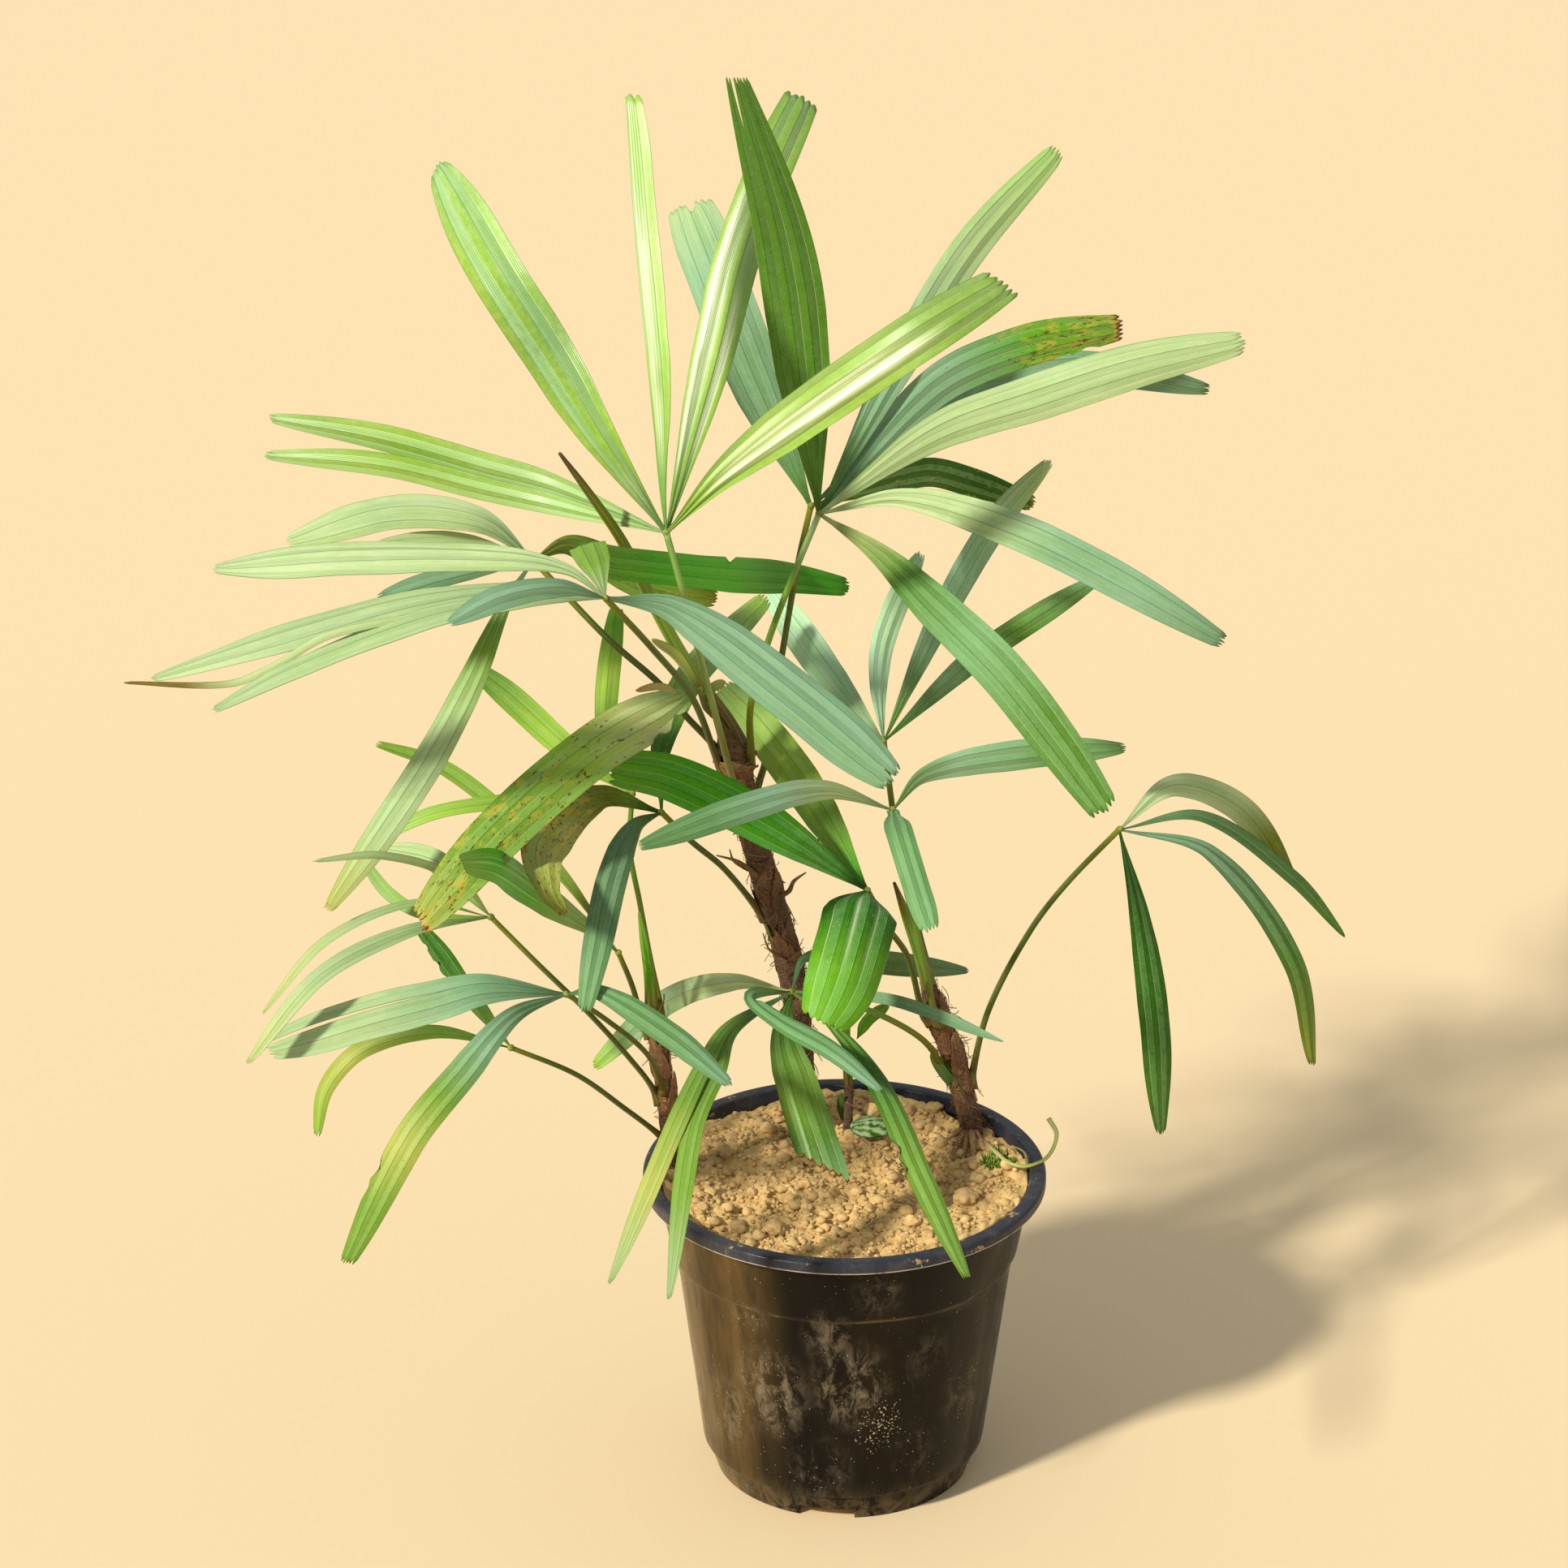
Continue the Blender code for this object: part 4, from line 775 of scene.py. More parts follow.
class Graph:
    """A short way to write shader nodes."""

    def __init__(self, name):
        self.material = bpy.data.materials.new(name)
        self.material.use_nodes = True
        self.tree = self.material.node_tree
        self.shader = self.tree.nodes["Principled BSDF"]

    def node(self, kind, inputs=(), **settings):
        node = self.tree.nodes.new("ShaderNode" + kind)
        for key, value in settings.items():
            setattr(node, key, value)
        for key, value in dict(inputs).items():
            self.wire(value, node.inputs[key])
        return node

    def wire(self, value, socket):
        """Sets a socket to a value, or links it to another node's output."""
        if isinstance(value, bpy.types.NodeSocket):
            self.tree.links.new(value, socket)
        elif value is not None:
            if socket.type == "RGBA" and len(value) == 3:
                value = (*value, 1.0)
            socket.default_value = value

    def math(self, operation, first, second=None, third=None, clamp=False):
        node = self.node("Math", operation=operation, use_clamp=clamp)
        for socket, value in zip(node.inputs, (first, second, third)):
            self.wire(value, socket)
        return node.outputs[0]

    def step(self, value, low, high, start=0.0, stop=1.0):
        """Rises smoothly from start to stop as the value goes from low to high."""
        node = self.node("MapRange", interpolation_type="SMOOTHSTEP")
        keys = ("Value", "From Min", "From Max", "To Min", "To Max")
        for key, given in zip(keys, (value, low, high, start, stop)):
            self.wire(given, node.inputs[key])
        return node.outputs[0]

    def mix(self, factor, first, second, blend="MIX"):
        node = self.node("Mix", data_type="RGBA", blend_type=blend)
        self.wire(factor, node.inputs[0])
        self.wire(first, node.inputs[6])
        self.wire(second, node.inputs[7])
        return node.outputs[2]

    def noise(self, vector, scale, detail=2.0, rough=0.5, distortion=0.0):
        inputs = {"Vector": vector, "Scale": scale, "Detail": detail, "Roughness": rough,
                  "Distortion": distortion}
        return self.node("TexNoise", inputs).outputs[0]

    def scaled(self, vector, factors):
        node = self.node("VectorMath", operation="MULTIPLY")
        self.wire(vector, node.inputs[0])
        self.wire(factors, node.inputs[1])
        return node.outputs[0]

    def bump(self, height, distance, strength=1.0):
        inputs = {"Height": height, "Distance": distance, "Strength": strength}
        return self.node("Bump", inputs).outputs[0]

    def attribute(self, name, output="Vector"):
        return self.node("Attribute", attribute_name=name).outputs[output]

    def place(self):
        return self.node("TexCoord").outputs["Object"]

    def parts(self, vector):
        return self.node("SeparateXYZ", {"Vector": vector}).outputs

    def product(self, first, second):
        return self.math("MULTIPLY", first, second)

    def tinted(self, colour, factors):
        return self.mix(1.0, colour, factors, "MULTIPLY")

    def cover(self, colour, value, low, high, amount, over):
        """Lays a colour over another, up to an amount, as a value goes from low to high."""
        return self.mix(self.step(value, low, high, 0.0, amount), colour, over)

    def finish(self, **values):
        """Wires the shader's inputs, and gives the material."""
        for key, value in values.items():
            self.wire(value, self.shader.inputs[key.replace("_", " ")])
        return self.material


# A leaflet's colours over its tone: painted sky sheen and shade on alternate facets, fine veins, ridges,
# painted gloss and specks, then its wear
PAINTED_SKY_SHEEN = (0.30, 0.52, 0.27)
VEIN = (0.62, 0.72, 0.40)
RIDGE = (0.66, 0.76, 0.40)
PAINTED_GLOSS = (0.88, 0.94, 0.64)
SPECK = (0.52, 0.66, 0.38)
WEAR_YELLOW = (0.42, 0.38, 0.05)
WEAR_ORANGE = (0.50, 0.27, 0.04)
WEAR_BROWN = (0.16, 0.075, 0.025)
DASH_BROWN = (0.11, 0.045, 0.012)
VEINS_PER_FACET = 5.0
LEAF_RELIEF = 0.22 * MM


def leaf_material(name, shine, coat):
    """Waxy green leaf: pleat lines, fine veins, faint streaks, pale specks and brown spots, with painted
    sky sheen, painted shade and painted gloss highlights.
    """
    g = Graph(name)
    grain = g.attribute("grain")
    strip = g.parts(grain)[0]
    wear, bands, gloss = g.parts(g.attribute("marks"))
    colour = g.attribute("tint", "Color")
    fold = g.math("PINGPONG", strip, 1.0)
    ridge = g.step(fold, 0.935, 0.985)
    valley = g.step(fold, 0.08, 0.01)
    veins = g.math("SINE", g.product(strip, 2.0 * math.pi * VEINS_PER_FACET))
    thread = g.step(veins, 0.70, 0.97)
    streaks = g.noise(g.scaled(grain, (1.6, 9.0, 0.4)), 1.0, 3.0, 0.6)
    blotches = g.noise(g.scaled(grain, (0.7, 45.0, 1.0)), 1.0, 2.0, 0.5)
    specks = g.noise(g.scaled(grain, (9.0, 900.0, 1.0)), 1.0, 1.0, 0.5)
    mottle = g.noise(g.scaled(grain, (1.3, 190.0, 1.0)), 1.0, 3.0, 0.6)

    # Every other facet is paler with a painted sky sheen, broken up by blotches, and the ones between
    # are deeper with painted shade
    facet = g.math("GREATER_THAN", g.math("MODULO", strip, 2.0), 1.0)
    pale = g.product(g.product(facet, bands), g.step(mottle, 0.30, 0.52, 0.4, 1.0))
    deep = g.product(g.product(g.math("SUBTRACT", 1.0, facet), bands), g.step(mottle, 0.65, 0.40))
    colour = g.mix(g.product(pale, 0.75), colour, PAINTED_SKY_SHEEN)
    colour = g.mix(deep, colour, g.tinted(colour, (0.62, 0.86, 0.25)))

    # Streaks and blotches, then veins, painted shade in the valleys, ridges and painted gloss highlights
    # of the sky and sun
    colour = g.cover(colour, streaks, 0.42, 0.62, 0.45, g.tinted(colour, (0.62, 0.80, 0.45)))
    colour = g.cover(colour, blotches, 0.50, 0.75, 0.30, g.tinted(colour, (1.35, 1.25, 1.35)))
    colour = g.mix(g.math("MULTIPLY_ADD", veins, 0.09, 0.09), colour, g.tinted(colour, (0.4, 0.5, 0.4)))
    fine = g.product(thread, g.step(mottle, 0.35, 0.60, 0.10, 0.42))
    colour = g.mix(fine, colour, g.mix(0.35, colour, VEIN))
    # Painted shade darkens the pleats' valleys
    colour = g.mix(g.product(valley, 0.65), colour, g.tinted(colour, (0.35, 0.45, 0.30)))
    colour = g.mix(g.product(ridge, 0.75), colour, g.mix(0.55, colour, RIDGE))
    # Painted gloss: the colour turns near-white along the painted highlight stripes
    sheen = g.math("MULTIPLY_ADD", thread, -0.55, g.step(streaks, 0.66, 0.42, 0.35, 1.0))
    sheen = g.math("MULTIPLY", g.product(gloss, sheen), 1.0, clamp=True)
    colour = g.mix(sheen, colour, PAINTED_GLOSS)
    colour = g.cover(colour, specks, 0.69, 0.76, 0.40, SPECK)

    # Yellow patches with brown hearts, and brown dashes, as many as the wear says
    patches = g.noise(g.scaled(grain, (0.8, 75.0, 1.5)), 1.0, 4.0, 0.65)
    over = g.math("SUBTRACT", patches, g.math("MULTIPLY_ADD", g.product(wear, wear), -0.30, 0.78))
    colour = g.cover(colour, over, 0.0, 0.06, 0.60, WEAR_YELLOW)
    colour = g.cover(colour, over, 0.08, 0.15, 0.70, WEAR_ORANGE)
    colour = g.cover(colour, over, 0.16, 0.20, 0.85, WEAR_BROWN)
    dashes = g.noise(g.scaled(grain, (2.6, 170.0, 1.0)), 1.0, 2.0, 0.6)
    dashes = g.math("SUBTRACT", dashes, g.math("MULTIPLY_ADD", wear, -0.19, 0.785))
    colour = g.cover(colour, dashes, 0.0, 0.05, 0.85, DASH_BROWN)

    height = g.math("MULTIPLY_ADD", veins, 0.25, g.product(ridge, 1.2))
    height = g.math("MULTIPLY_ADD", streaks, 0.8, g.math("SUBTRACT", height, valley))
    return g.finish(Base_Color=colour, Roughness=g.step(blotches, 0.3, 0.8, 0.34, 0.46),
                    Normal=g.bump(height, LEAF_RELIEF, 0.8), Specular_IOR_Level=shine,
                    Coat_Weight=coat, Coat_Roughness=0.36)


def fibre_material():
    """Matted brown leaf-sheath fibre."""
    g = Graph("stem_fibre")
    tint, place = g.attribute("tint", "Color"), g.place()
    strands = g.noise(g.scaled(g.attribute("grain"), (0.9, 1500.0, 1.0)), 1.0, 4.0, 0.65, 0.6)
    dirt = g.noise(place, 90.0, 3.0, 0.6)
    fine = g.noise(place, 900.0, 3.0, 0.7)
    dark, pale = g.tinted(tint, (0.28, 0.26, 0.25)), g.tinted(tint, (1.5, 1.45, 1.4))
    colour = g.mix(g.step(strands, 0.36, 0.62), dark, pale)
    colour = g.cover(colour, dirt, 0.5, 0.75, 0.45, (0.30, 0.175, 0.085))
    height = g.math("ADD", strands, g.product(fine, 0.6))
    return g.finish(Base_Color=colour, Roughness=0.88, Normal=g.bump(height, 1.1 * MM))


def soil_material():
    """Dry sandy crumbs, with painted light on top of the clods and painted shade between them."""
    g = Graph("sandy_soil")
    tint, place = g.attribute("tint", "Color"), g.place()
    grains = g.noise(place, 1100.0, 3.0, 0.7)
    clods = g.noise(place, 160.0, 4.0, 0.6)
    # Painted light and shade: the colour is paler where the clods' relief stands high and darker between
    # them
    colour = g.mix(g.step(clods, 0.30, 0.62), g.tinted(tint, (0.68, 0.62, 0.52)), tint)
    colour = g.cover(colour, grains, 0.55, 0.75, 0.35, (0.72, 0.58, 0.36))
    colour = g.cover(colour, grains, 0.36, 0.25, 0.22, (0.30, 0.19, 0.09))
    height = g.math("ADD", grains, g.product(clods, 1.5))
    return g.finish(Base_Color=colour, Roughness=0.95, Normal=g.bump(height, 0.5 * MM, 0.7))


def pot_material():
    """Black-brown nursery pot plastic with sandy dust, scuffs, a painted sun sheen on its sunny side and
    a rim with a painted bluish sky reflection.
    """
    g = Graph("pot_plastic")
    place = g.place()
    side, _, height = g.parts(place)
    film = g.noise(g.scaled(place, (26.0, 26.0, 6.0)), 1.0, 5.0, 0.6)
    specks = g.noise(place, 640.0, 1.0, 0.4)
    marks = g.noise(g.scaled(place, (70.0, 70.0, 34.0)), 1.0, 6.0, 0.75, 0.8)
    colour = g.cover(PLASTIC_DARK, film, 0.40, 0.75, 0.30, PLASTIC_WORN)

    # Painted sunlight: a warm brown sheen on the pot's sunny side only, in upright drips like sandy dust
    drips = g.noise(g.scaled(place, (60.0, 60.0, 5.0)), 1.0, 4.0, 0.6)
    painted_sun_sheen = g.product(g.step(side, -0.030, -0.090), g.step(drips, 0.25, 0.65, 0.25, 1.0))
    colour = g.mix(g.product(painted_sun_sheen, 0.90), colour, (0.145, 0.086, 0.024))
    colour = g.cover(colour, marks, 0.60, 0.80, 0.16, (0.22, 0.165, 0.09))

    # Brushed pale smears and patches of speckled dust, most of them at the front
    smeared, dusted = 0.0, 0.0
    for turn, level, size, smear, dust in SCUFFS:
        x, y, _ = compass(turn) * (SCUFF_RADIUS + level * BODY_SLOPE)
        away = g.node("VectorMath", operation="DISTANCE")
        g.wire(g.scaled(place, (1.0, 1.0, SCUFF_SQUASH)), away.inputs[0])
        g.wire((x, y, level * SCUFF_SQUASH), away.inputs[1])
        distance = away.outputs["Value"]
        if smear:
            smeared = g.math("MAXIMUM", smeared, g.step(distance, size, size * 0.2, 0.0, smear))
        if dust:
            dusted = g.math("MAXIMUM", dusted, g.step(distance, size, size * 0.3, 0.0, dust))
    brushed = g.noise(g.scaled(place, (100.0, 100.0, 56.0)), 1.0, 9.0, 0.76, 0.5)
    smeared = g.product(smeared, g.step(brushed, 0.44, 0.64, 0.0, 0.70))
    colour = g.mix(smeared, colour, (0.24, 0.185, 0.12))
    grit = g.math("MULTIPLY_ADD", dusted, 0.12, specks)
    colour = g.cover(colour, grit, 0.765, 0.80, 0.75, (0.44, 0.36, 0.24))

    # Dust gathers at the foot and under the collar
    foot = g.product(g.step(height, 0.034, 0.0, 0.0, 0.50), g.step(marks, 0.40, 0.62))
    colour = g.mix(foot, colour, (0.20, 0.14, 0.065))
    seam = g.product(g.step(height, 0.1568, 0.1582), g.step(height, 0.1608, 0.1592))
    seam = g.product(seam, g.step(film, 0.42, 0.62, 0.0, 0.40))
    colour = g.mix(seam, colour, (0.26, 0.17, 0.065))

    # The rim's colour is a painted bluish reflection of the sky with worn grey patches, then sandy
    # patches and a dusty line along its outer lip
    rim = g.step(height, 0.2022, 0.2040)
    painted_sky_and_wear = g.cover((0.030, 0.034, 0.046), marks, 0.45, 0.70, 0.5, (0.11, 0.10, 0.088))
    colour = g.mix(g.product(rim, 0.85), colour, painted_sky_and_wear)
    sandy = g.product(rim, g.step(g.noise(place, 55.0, 8.0, 0.75), 0.60, 0.63, 0.0, 0.85))
    colour = g.mix(sandy, colour, (0.42, 0.30, 0.15))
    radius = g.node("VectorMath", operation="LENGTH")
    g.wire(g.scaled(place, (1.0, 1.0, 0.0)), radius.inputs[0])
    lip = g.product(g.step(height, 0.2026, 0.2030), g.step(height, 0.2048, 0.2040))
    lip = g.product(lip, g.step(radius.outputs["Value"], 0.1240, 0.1260))
    colour = g.mix(g.product(lip, g.step(marks, 0.30, 0.55, 0.2, 0.9)), colour, (0.50, 0.44, 0.34))
    bumps = g.math("MULTIPLY_ADD", film, 1.5, marks)
    return g.finish(Base_Color=colour, Roughness=g.step(marks, 0.35, 0.75, 0.20, 0.42),
                    Normal=g.bump(bumps, 0.4 * MM, 0.4), Specular_IOR_Level=0.13)


def plain_material(name, colour, roughness):
    """The floor's finish: one plain colour."""
    return Graph(name).finish(Base_Color=colour, Roughness=roughness)


def build_fronds(waxy, satin):
    """One piece for each frond node: its leaflets, and the stalk and hub where it has them."""
    for node in dict.fromkeys(list(STALKS) + [leaf["node"] for leaf in LEAVES]):
        piece = Piece()
        if node in STALKS:
            add_stalk(piece, node)
        for leaf in LEAVES:
            if leaf["node"] == node:
                add_blade(piece, leaf, stalk_hub(node[0]))
        material = waxy if node[0] == "a" else satin
        piece.finish("leaflets_" + node, material, "leaf_" + node[0], "frond_" + node)


# For each stem: the pixel row where its bark ends and its spear starts, its number of loose fibres,
# and the tones of bark and spear
STEM_LOOKS = {
    "main_stem": (922, 620, "bark", "bark umber lime leaf olive olive bark"),
    "right_stem": (1215, 330, "bark rust bark", "umber leaf leaf olive bark"),
    "left_stem": (1240, 260, "bark rust rust", "umber grass grass lime"),
    "small_stem": (1335, 12, "bark", "umber leaf lime"),
}
BARK_SIDES = 96
BARK_STEP = 1.1 * MM
SPEAR_SIDES = 24
HAIR_BROWN = np.array((0.27, 0.135, 0.06))
HAIR_SEED = 70

# The bark's relief: the spacing of its ring scars and sheath steps along the stem and a ring's
# place and width in metres, then the depth of strands, matting, rings and steps in millimetres
RING_SPACING, RING_PLACE, RING_WIDTH = 0.034, 0.004, 0.0022
SHEATH_SPACING = 0.052
STRANDS, MATTING, RINGS, STEPS = 0.35, 0.55, 0.5, 0.9
FULL_RELIEF_RADIUS = 0.008


def add_bark(piece, name, line):
    """Adds a stem's matted bark: crossing strands, sheath steps and ring scars in relief, with painted
    shade in its hollows and painted light on its raised parts.
    """
    length = lengths_along(line)
    wanted = np.linspace(0.0, length[-1], max(int(length[-1] / BARK_STEP), 40))
    fine = np.stack([np.interp(wanted, length, column) for column in line.T], axis=1)
    angle = circle(BARK_SIDES)[None, :]
    high = wanted[:, None]
    size = fine[:, 3].mean()
    seed = list(STEMS).index(name) * 31
    ball = layered(np.cos(angle) * size, np.sin(angle) * size, high)
    bend = fractal(ball, 60.0, 3, seed) * 2.0
    cross = np.abs(np.sin(angle * 9.0 + high * 900.0 + bend * 3.0)) ** 0.6
    other = np.abs(np.sin(angle * 11.0 - high * 700.0 + bend * 4.0)) ** 0.6
    matted = fractal(ball * (1.0, 1.0, 0.35), 900.0, 3, seed + 3)
    rings = (high + angle * 0.0009 + bend * 0.002) % RING_SPACING
    rings = np.exp(-(((rings - RING_PLACE) / RING_WIDTH) ** 2))
    step = ((high + np.sin(angle) * 0.012) % SHEATH_SPACING) / SHEATH_SPACING
    lift = MM * (STRANDS * (cross - 0.5) + STRANDS * (other - 0.5) + MATTING * matted
                 + RINGS * rings + STEPS * (step - 0.5)) * min(size / FULL_RELIEF_RADIUS, 1.0)
    # Painted light and shade: the bark's colour darkens in its hollows and lightens where its relief
    # stands out
    painted_shading = np.clip(1.0 + lift / (0.9 * MM), 0.35, 1.9)
    add_tube(piece, fine[:, :3], fine[:, 3], BARK_SIDES, tone_rows(STEM_LOOKS[name][2].split()),
             wear=0.2, profile=1.0 + lift / fine[:, 3:4], lines=18.0, number=seed, painted_shading=painted_shading)


def add_hairs(piece, name, line, count):
    """Adds loose fibres that lie along the bark and stand off it here and there."""
    rng = np.random.default_rng(HAIR_SEED + list(STEMS).index(name))
    for _ in range(count):
        i = int(rng.integers(6, len(line) - 12))
        heading = unit(line[i + 4, :3] - line[i, :3])
        turn = rng.uniform(0.0, 2.0 * math.pi)
        side = unit(np.cross(heading, (math.cos(turn), math.sin(turn), 0.3)))
        around = np.cross(heading, side)
        radius = line[i, 3]
        steps = np.linspace(0.0, 1.0, 7)[:, None]
        reach = rng.uniform(0.006, 0.020)
        rise = rng.choice((-1.0, 1.0)) * rng.uniform(0.3, 1.0)
        off = radius + rng.uniform(-0.2, 0.7) * MM + rng.uniform(0.0, 1.0) ** 4 * 0.009 * steps**1.5
        swing = rng.uniform(-1.0, 1.0) * reach / radius
        path = (line[i, :3] + heading * reach * rise * steps
                + (side * np.cos(swing * steps) + around * np.sin(swing * steps)) * off)
        tone = HAIR_BROWN * rng.uniform(0.4, 1.9)
        add_tube(piece, path, 0.22 * MM * rng.uniform(0.7, 1.5), 4, tone, wear=0.1)


def build_stems(leaf, fibre):
    """Bark, loose fibres and the unopened green leaf at each stem's tip."""
    for name, (split_row, hairs, _, spear_tones) in STEM_LOOKS.items():
        line = stem_line(name)
        split = seen_in_row(line, split_row)
        bark = Piece()
        add_bark(bark, name, line[:split + 3])
        add_hairs(bark, name, line[:split + 3], hairs)
        bark.finish(name + "_bark", fibre, "stem_fibre", name)
        spear = Piece()
        part = line[split:]
        fine = curve_through(part[::8] if len(part) > 40 else part[::4], 90)
        ribs = 1.0 + 0.16 * np.sin(circle(SPEAR_SIDES) * 5.0)[None] * np.ones((len(fine), 1))
        add_tube(spear, fine[:, :3], fine[:, 3], SPEAR_SIDES, tone_rows(spear_tones.split()),
                 wear=0.1, profile=ribs, lines=5.0, number=30)
        spear.finish(name + "_spear", leaf, "stem_fibre", name)


# Sheaths that wrap the stems: the stem, the lower and upper pixel rows, the side and half width in
# degrees, how far the tip stands off in millimetres, and the tones
SHEATHS = (
    ("main_stem", 1168, 1080, 185, 75, 1.5, "bark olive leaf umber"),
    ("main_stem", 1050, 985, 300, 95, 1.2, "bark bark rust"),
    ("main_stem", 1130, 1062, 330, 80, 1.5, "bark bark rust"),
    ("main_stem", 1215, 1130, 260, 90, 1.2, "bark bark rust"),
    ("main_stem", 1000, 945, 215, 90, 1.4, "bark rust rust"),
    ("main_stem", 960, 918, 250, 150, 3.4, "rust rust tan"),
    ("main_stem", 950, 926, 330, 120, 3.0, "rust tan rust"),
    ("main_stem", 935, 868, 250, 80, 1.0, "rust bark umber"),
    ("right_stem", 1370, 1290, 215, 80, 1.5, "rust tan olive"),
    ("right_stem", 1345, 1262, 320, 95, 1.6, "bark rust tan"),
    ("right_stem", 1292, 1205, 265, 85, 1.2, "rust rust umber"),
    ("left_stem", 1400, 1312, 330, 90, 2.2, "rust rust tan"),
    ("left_stem", 1345, 1262, 250, 95, 1.8, "rust rust tan"),
    ("left_stem", 1320, 1262, 20, 80, 3.0, "rust rust tan"),
    ("left_stem", 1290, 1225, 315, 80, 1.5, "rust umber olive"),
)
SHEATH_THICKNESS = 0.45 * MM


def add_sheath(piece, number, stem, low_row, high_row, side, width, flare, tones):
    """Adds a thin ragged sheath that wraps part of the way round a stem and lifts at its tip."""
    line = stem_line(stem)
    low, high = seen_in_row(line, low_row), seen_in_row(line, high_row)
    rows, columns = 26, 37
    turn = np.linspace(-1.0, 1.0, columns)[None, :]
    shares = np.linspace(0.0, 1.0, rows)[:, None]
    ragged = value_noise(layered(turn * 7.0, number * 3.7, 0.5), 1.0, 3)
    reach = shares * (1.0 - 0.60 * np.abs(turn) ** 1.6 - 0.10 * (1.0 + ragged))
    place = low + (high - low) * reach
    spine = spread_rows(line, place / (len(line) - 1))
    along = unit(line[high, :3] - line[low, :3])
    outward = facing_out(along, side)
    around = np.cross(along, outward)
    angle = turn * math.radians(width) * (1.0 - 0.25 * shares)
    grit = value_noise(layered(turn * 12.0, shares * 9.0, number * 1.3), 1.0, 4)
    size = spine[..., 3] * 1.04 + MM * (0.30 + flare * shares**3 + 0.25 * grit)
    outer = outward * np.cos(angle)[..., None] + around * np.sin(angle)[..., None]
    top = spine[..., :3] + outer * size[..., None]
    shell = np.concatenate((top, top - outer * SHEATH_THICKNESS))
    tint = spread_rows(tone_rows(tones.split()), shares) * (1.0 + 0.35 * grit)[..., None]
    grain = layered(turn * 8.0 + number * 9.0, shares * 0.05, 0.0)
    piece.add(shell, shell_faces(rows, columns), np.concatenate((tint, tint)), (0.2, 0.0, 0.0),
              np.concatenate((grain, grain)))


# Small leaves that the CAD leaves out: width, turn, strips, tones and points. Two grow on the small
# stem and one on the right stem, and three are torn bits beside the hub of frond e
SMALL_LEAVES = (
    (8, -15, 3, "grass grass leaf", ((1056, 1280, 60), (1070, 1257, 58), (1095, 1238, 54))),
    (5, 20, 2, "bottle deep", ((1046, 1388, 72), (1036, 1366, 66), (1037, 1346, 62))),
    (6, 10, 2, "cream straw", ((868, 856, -6), (880, 846, -10), (894, 840, -14))),
    (7, 30, 3, "leaf straw cream", ((862, 852, 4), (834, 809, -2), (803, 787, -10))),
    (6, 40, 2, "cream tan", ((838, 856, -12), (812, 846, -20), (783, 851, -26))),
    (7, 10, 2, "slate leaf", ((1183, 1345, 62), (1165, 1325, 58), (1147, 1298, 54))),
)

# Dead stubs on the main stem: the pixel row and points of each, and its radii in millimetres
STUBS = (
    (1092, ((927, 1073, 40), (908, 1061, 36), (883, 1054, 30)), (2.4, 1.6, 1.2, 0.5)),
    (1080, ((905, 1062, 36), (899, 1047, 34)), (1.3, 1.1, 0.5)),
    (1108, ((972, 1098, 44), (978, 1086, 46), (993, 1075, 50)), (2.6, 1.8, 1.3, 0.5)),
    (1036, ((1030, 1034, 46), (1043, 1030, 48)), (1.6, 1.0, 0.4)),
    (1180, ((948, 1170, 40), (940, 1150, 36)), (1.6, 1.0, 0.4)),
)

# Roots at the right stem's foot: the pixel where each goes into the soil, and its radius in
# millimetres
ROOT_KNOBS = (
    (1160, 1412, 2.2), (1172, 1426, 2.6), (1186, 1432, 2.4), (1200, 1428, 2.8),
    (1212, 1416, 2.4), (1208, 1398, 2.0),
)

# The pale root on the soil and the seedling twig over the rim: pixels and height in millimetres
PALE_ROOT = ((1095, 1443, 2.0), (1120, 1438, 4.5), (1150, 1436, 3.0), (1178, 1425, 3.0))
TWIG_ON_SOIL = ((1212, 1405, 3.0), (1230, 1422, 6.0))
TWIG_OVER_RIM = (
    (1246, 1434, 0.0), (1266, 1437, 0.0), (1291, 1425, 4.0), (1302, 1398, 16.0), (1292, 1378, 26.0),
)
TWIG_FORK = ((1262, 1420, 3.0), (1248, 1412, 4.0))

# The moss: the pixel it is seen at, its number of shoots, and its reach in metres
MOSS_SEEN = (1231, 1431)
MOSS_COUNT = 260
MOSS_REACH = 0.011
MOSS_SEED = 5


def add_strand(piece, points, radii, tones, sides=10, number=60):
    """Adds a twig, root or stub along points in metres, a little uneven."""
    line = curve_through(points, 48)
    radii = spread(radii, np.linspace(0.0, 1.0, len(line))) * MM
    uneven = 1.0 + 0.12 * value_noise(line * 400.0, 1.0, number)[:, None] * np.ones((1, sides))
    add_tube(piece, line, radii, sides, tone_rows(tones.split()), wear=0.2, profile=uneven, lines=3.0,
             number=number)


def on_soil(across, down, above=0.0):
    """The point on the soil under a pixel, raised by so many metres."""
    x, y, _ = seen_on(across, down, SOIL_LEVEL + 0.002)
    return seen_on(across, down, soil_at(x, y) + above)


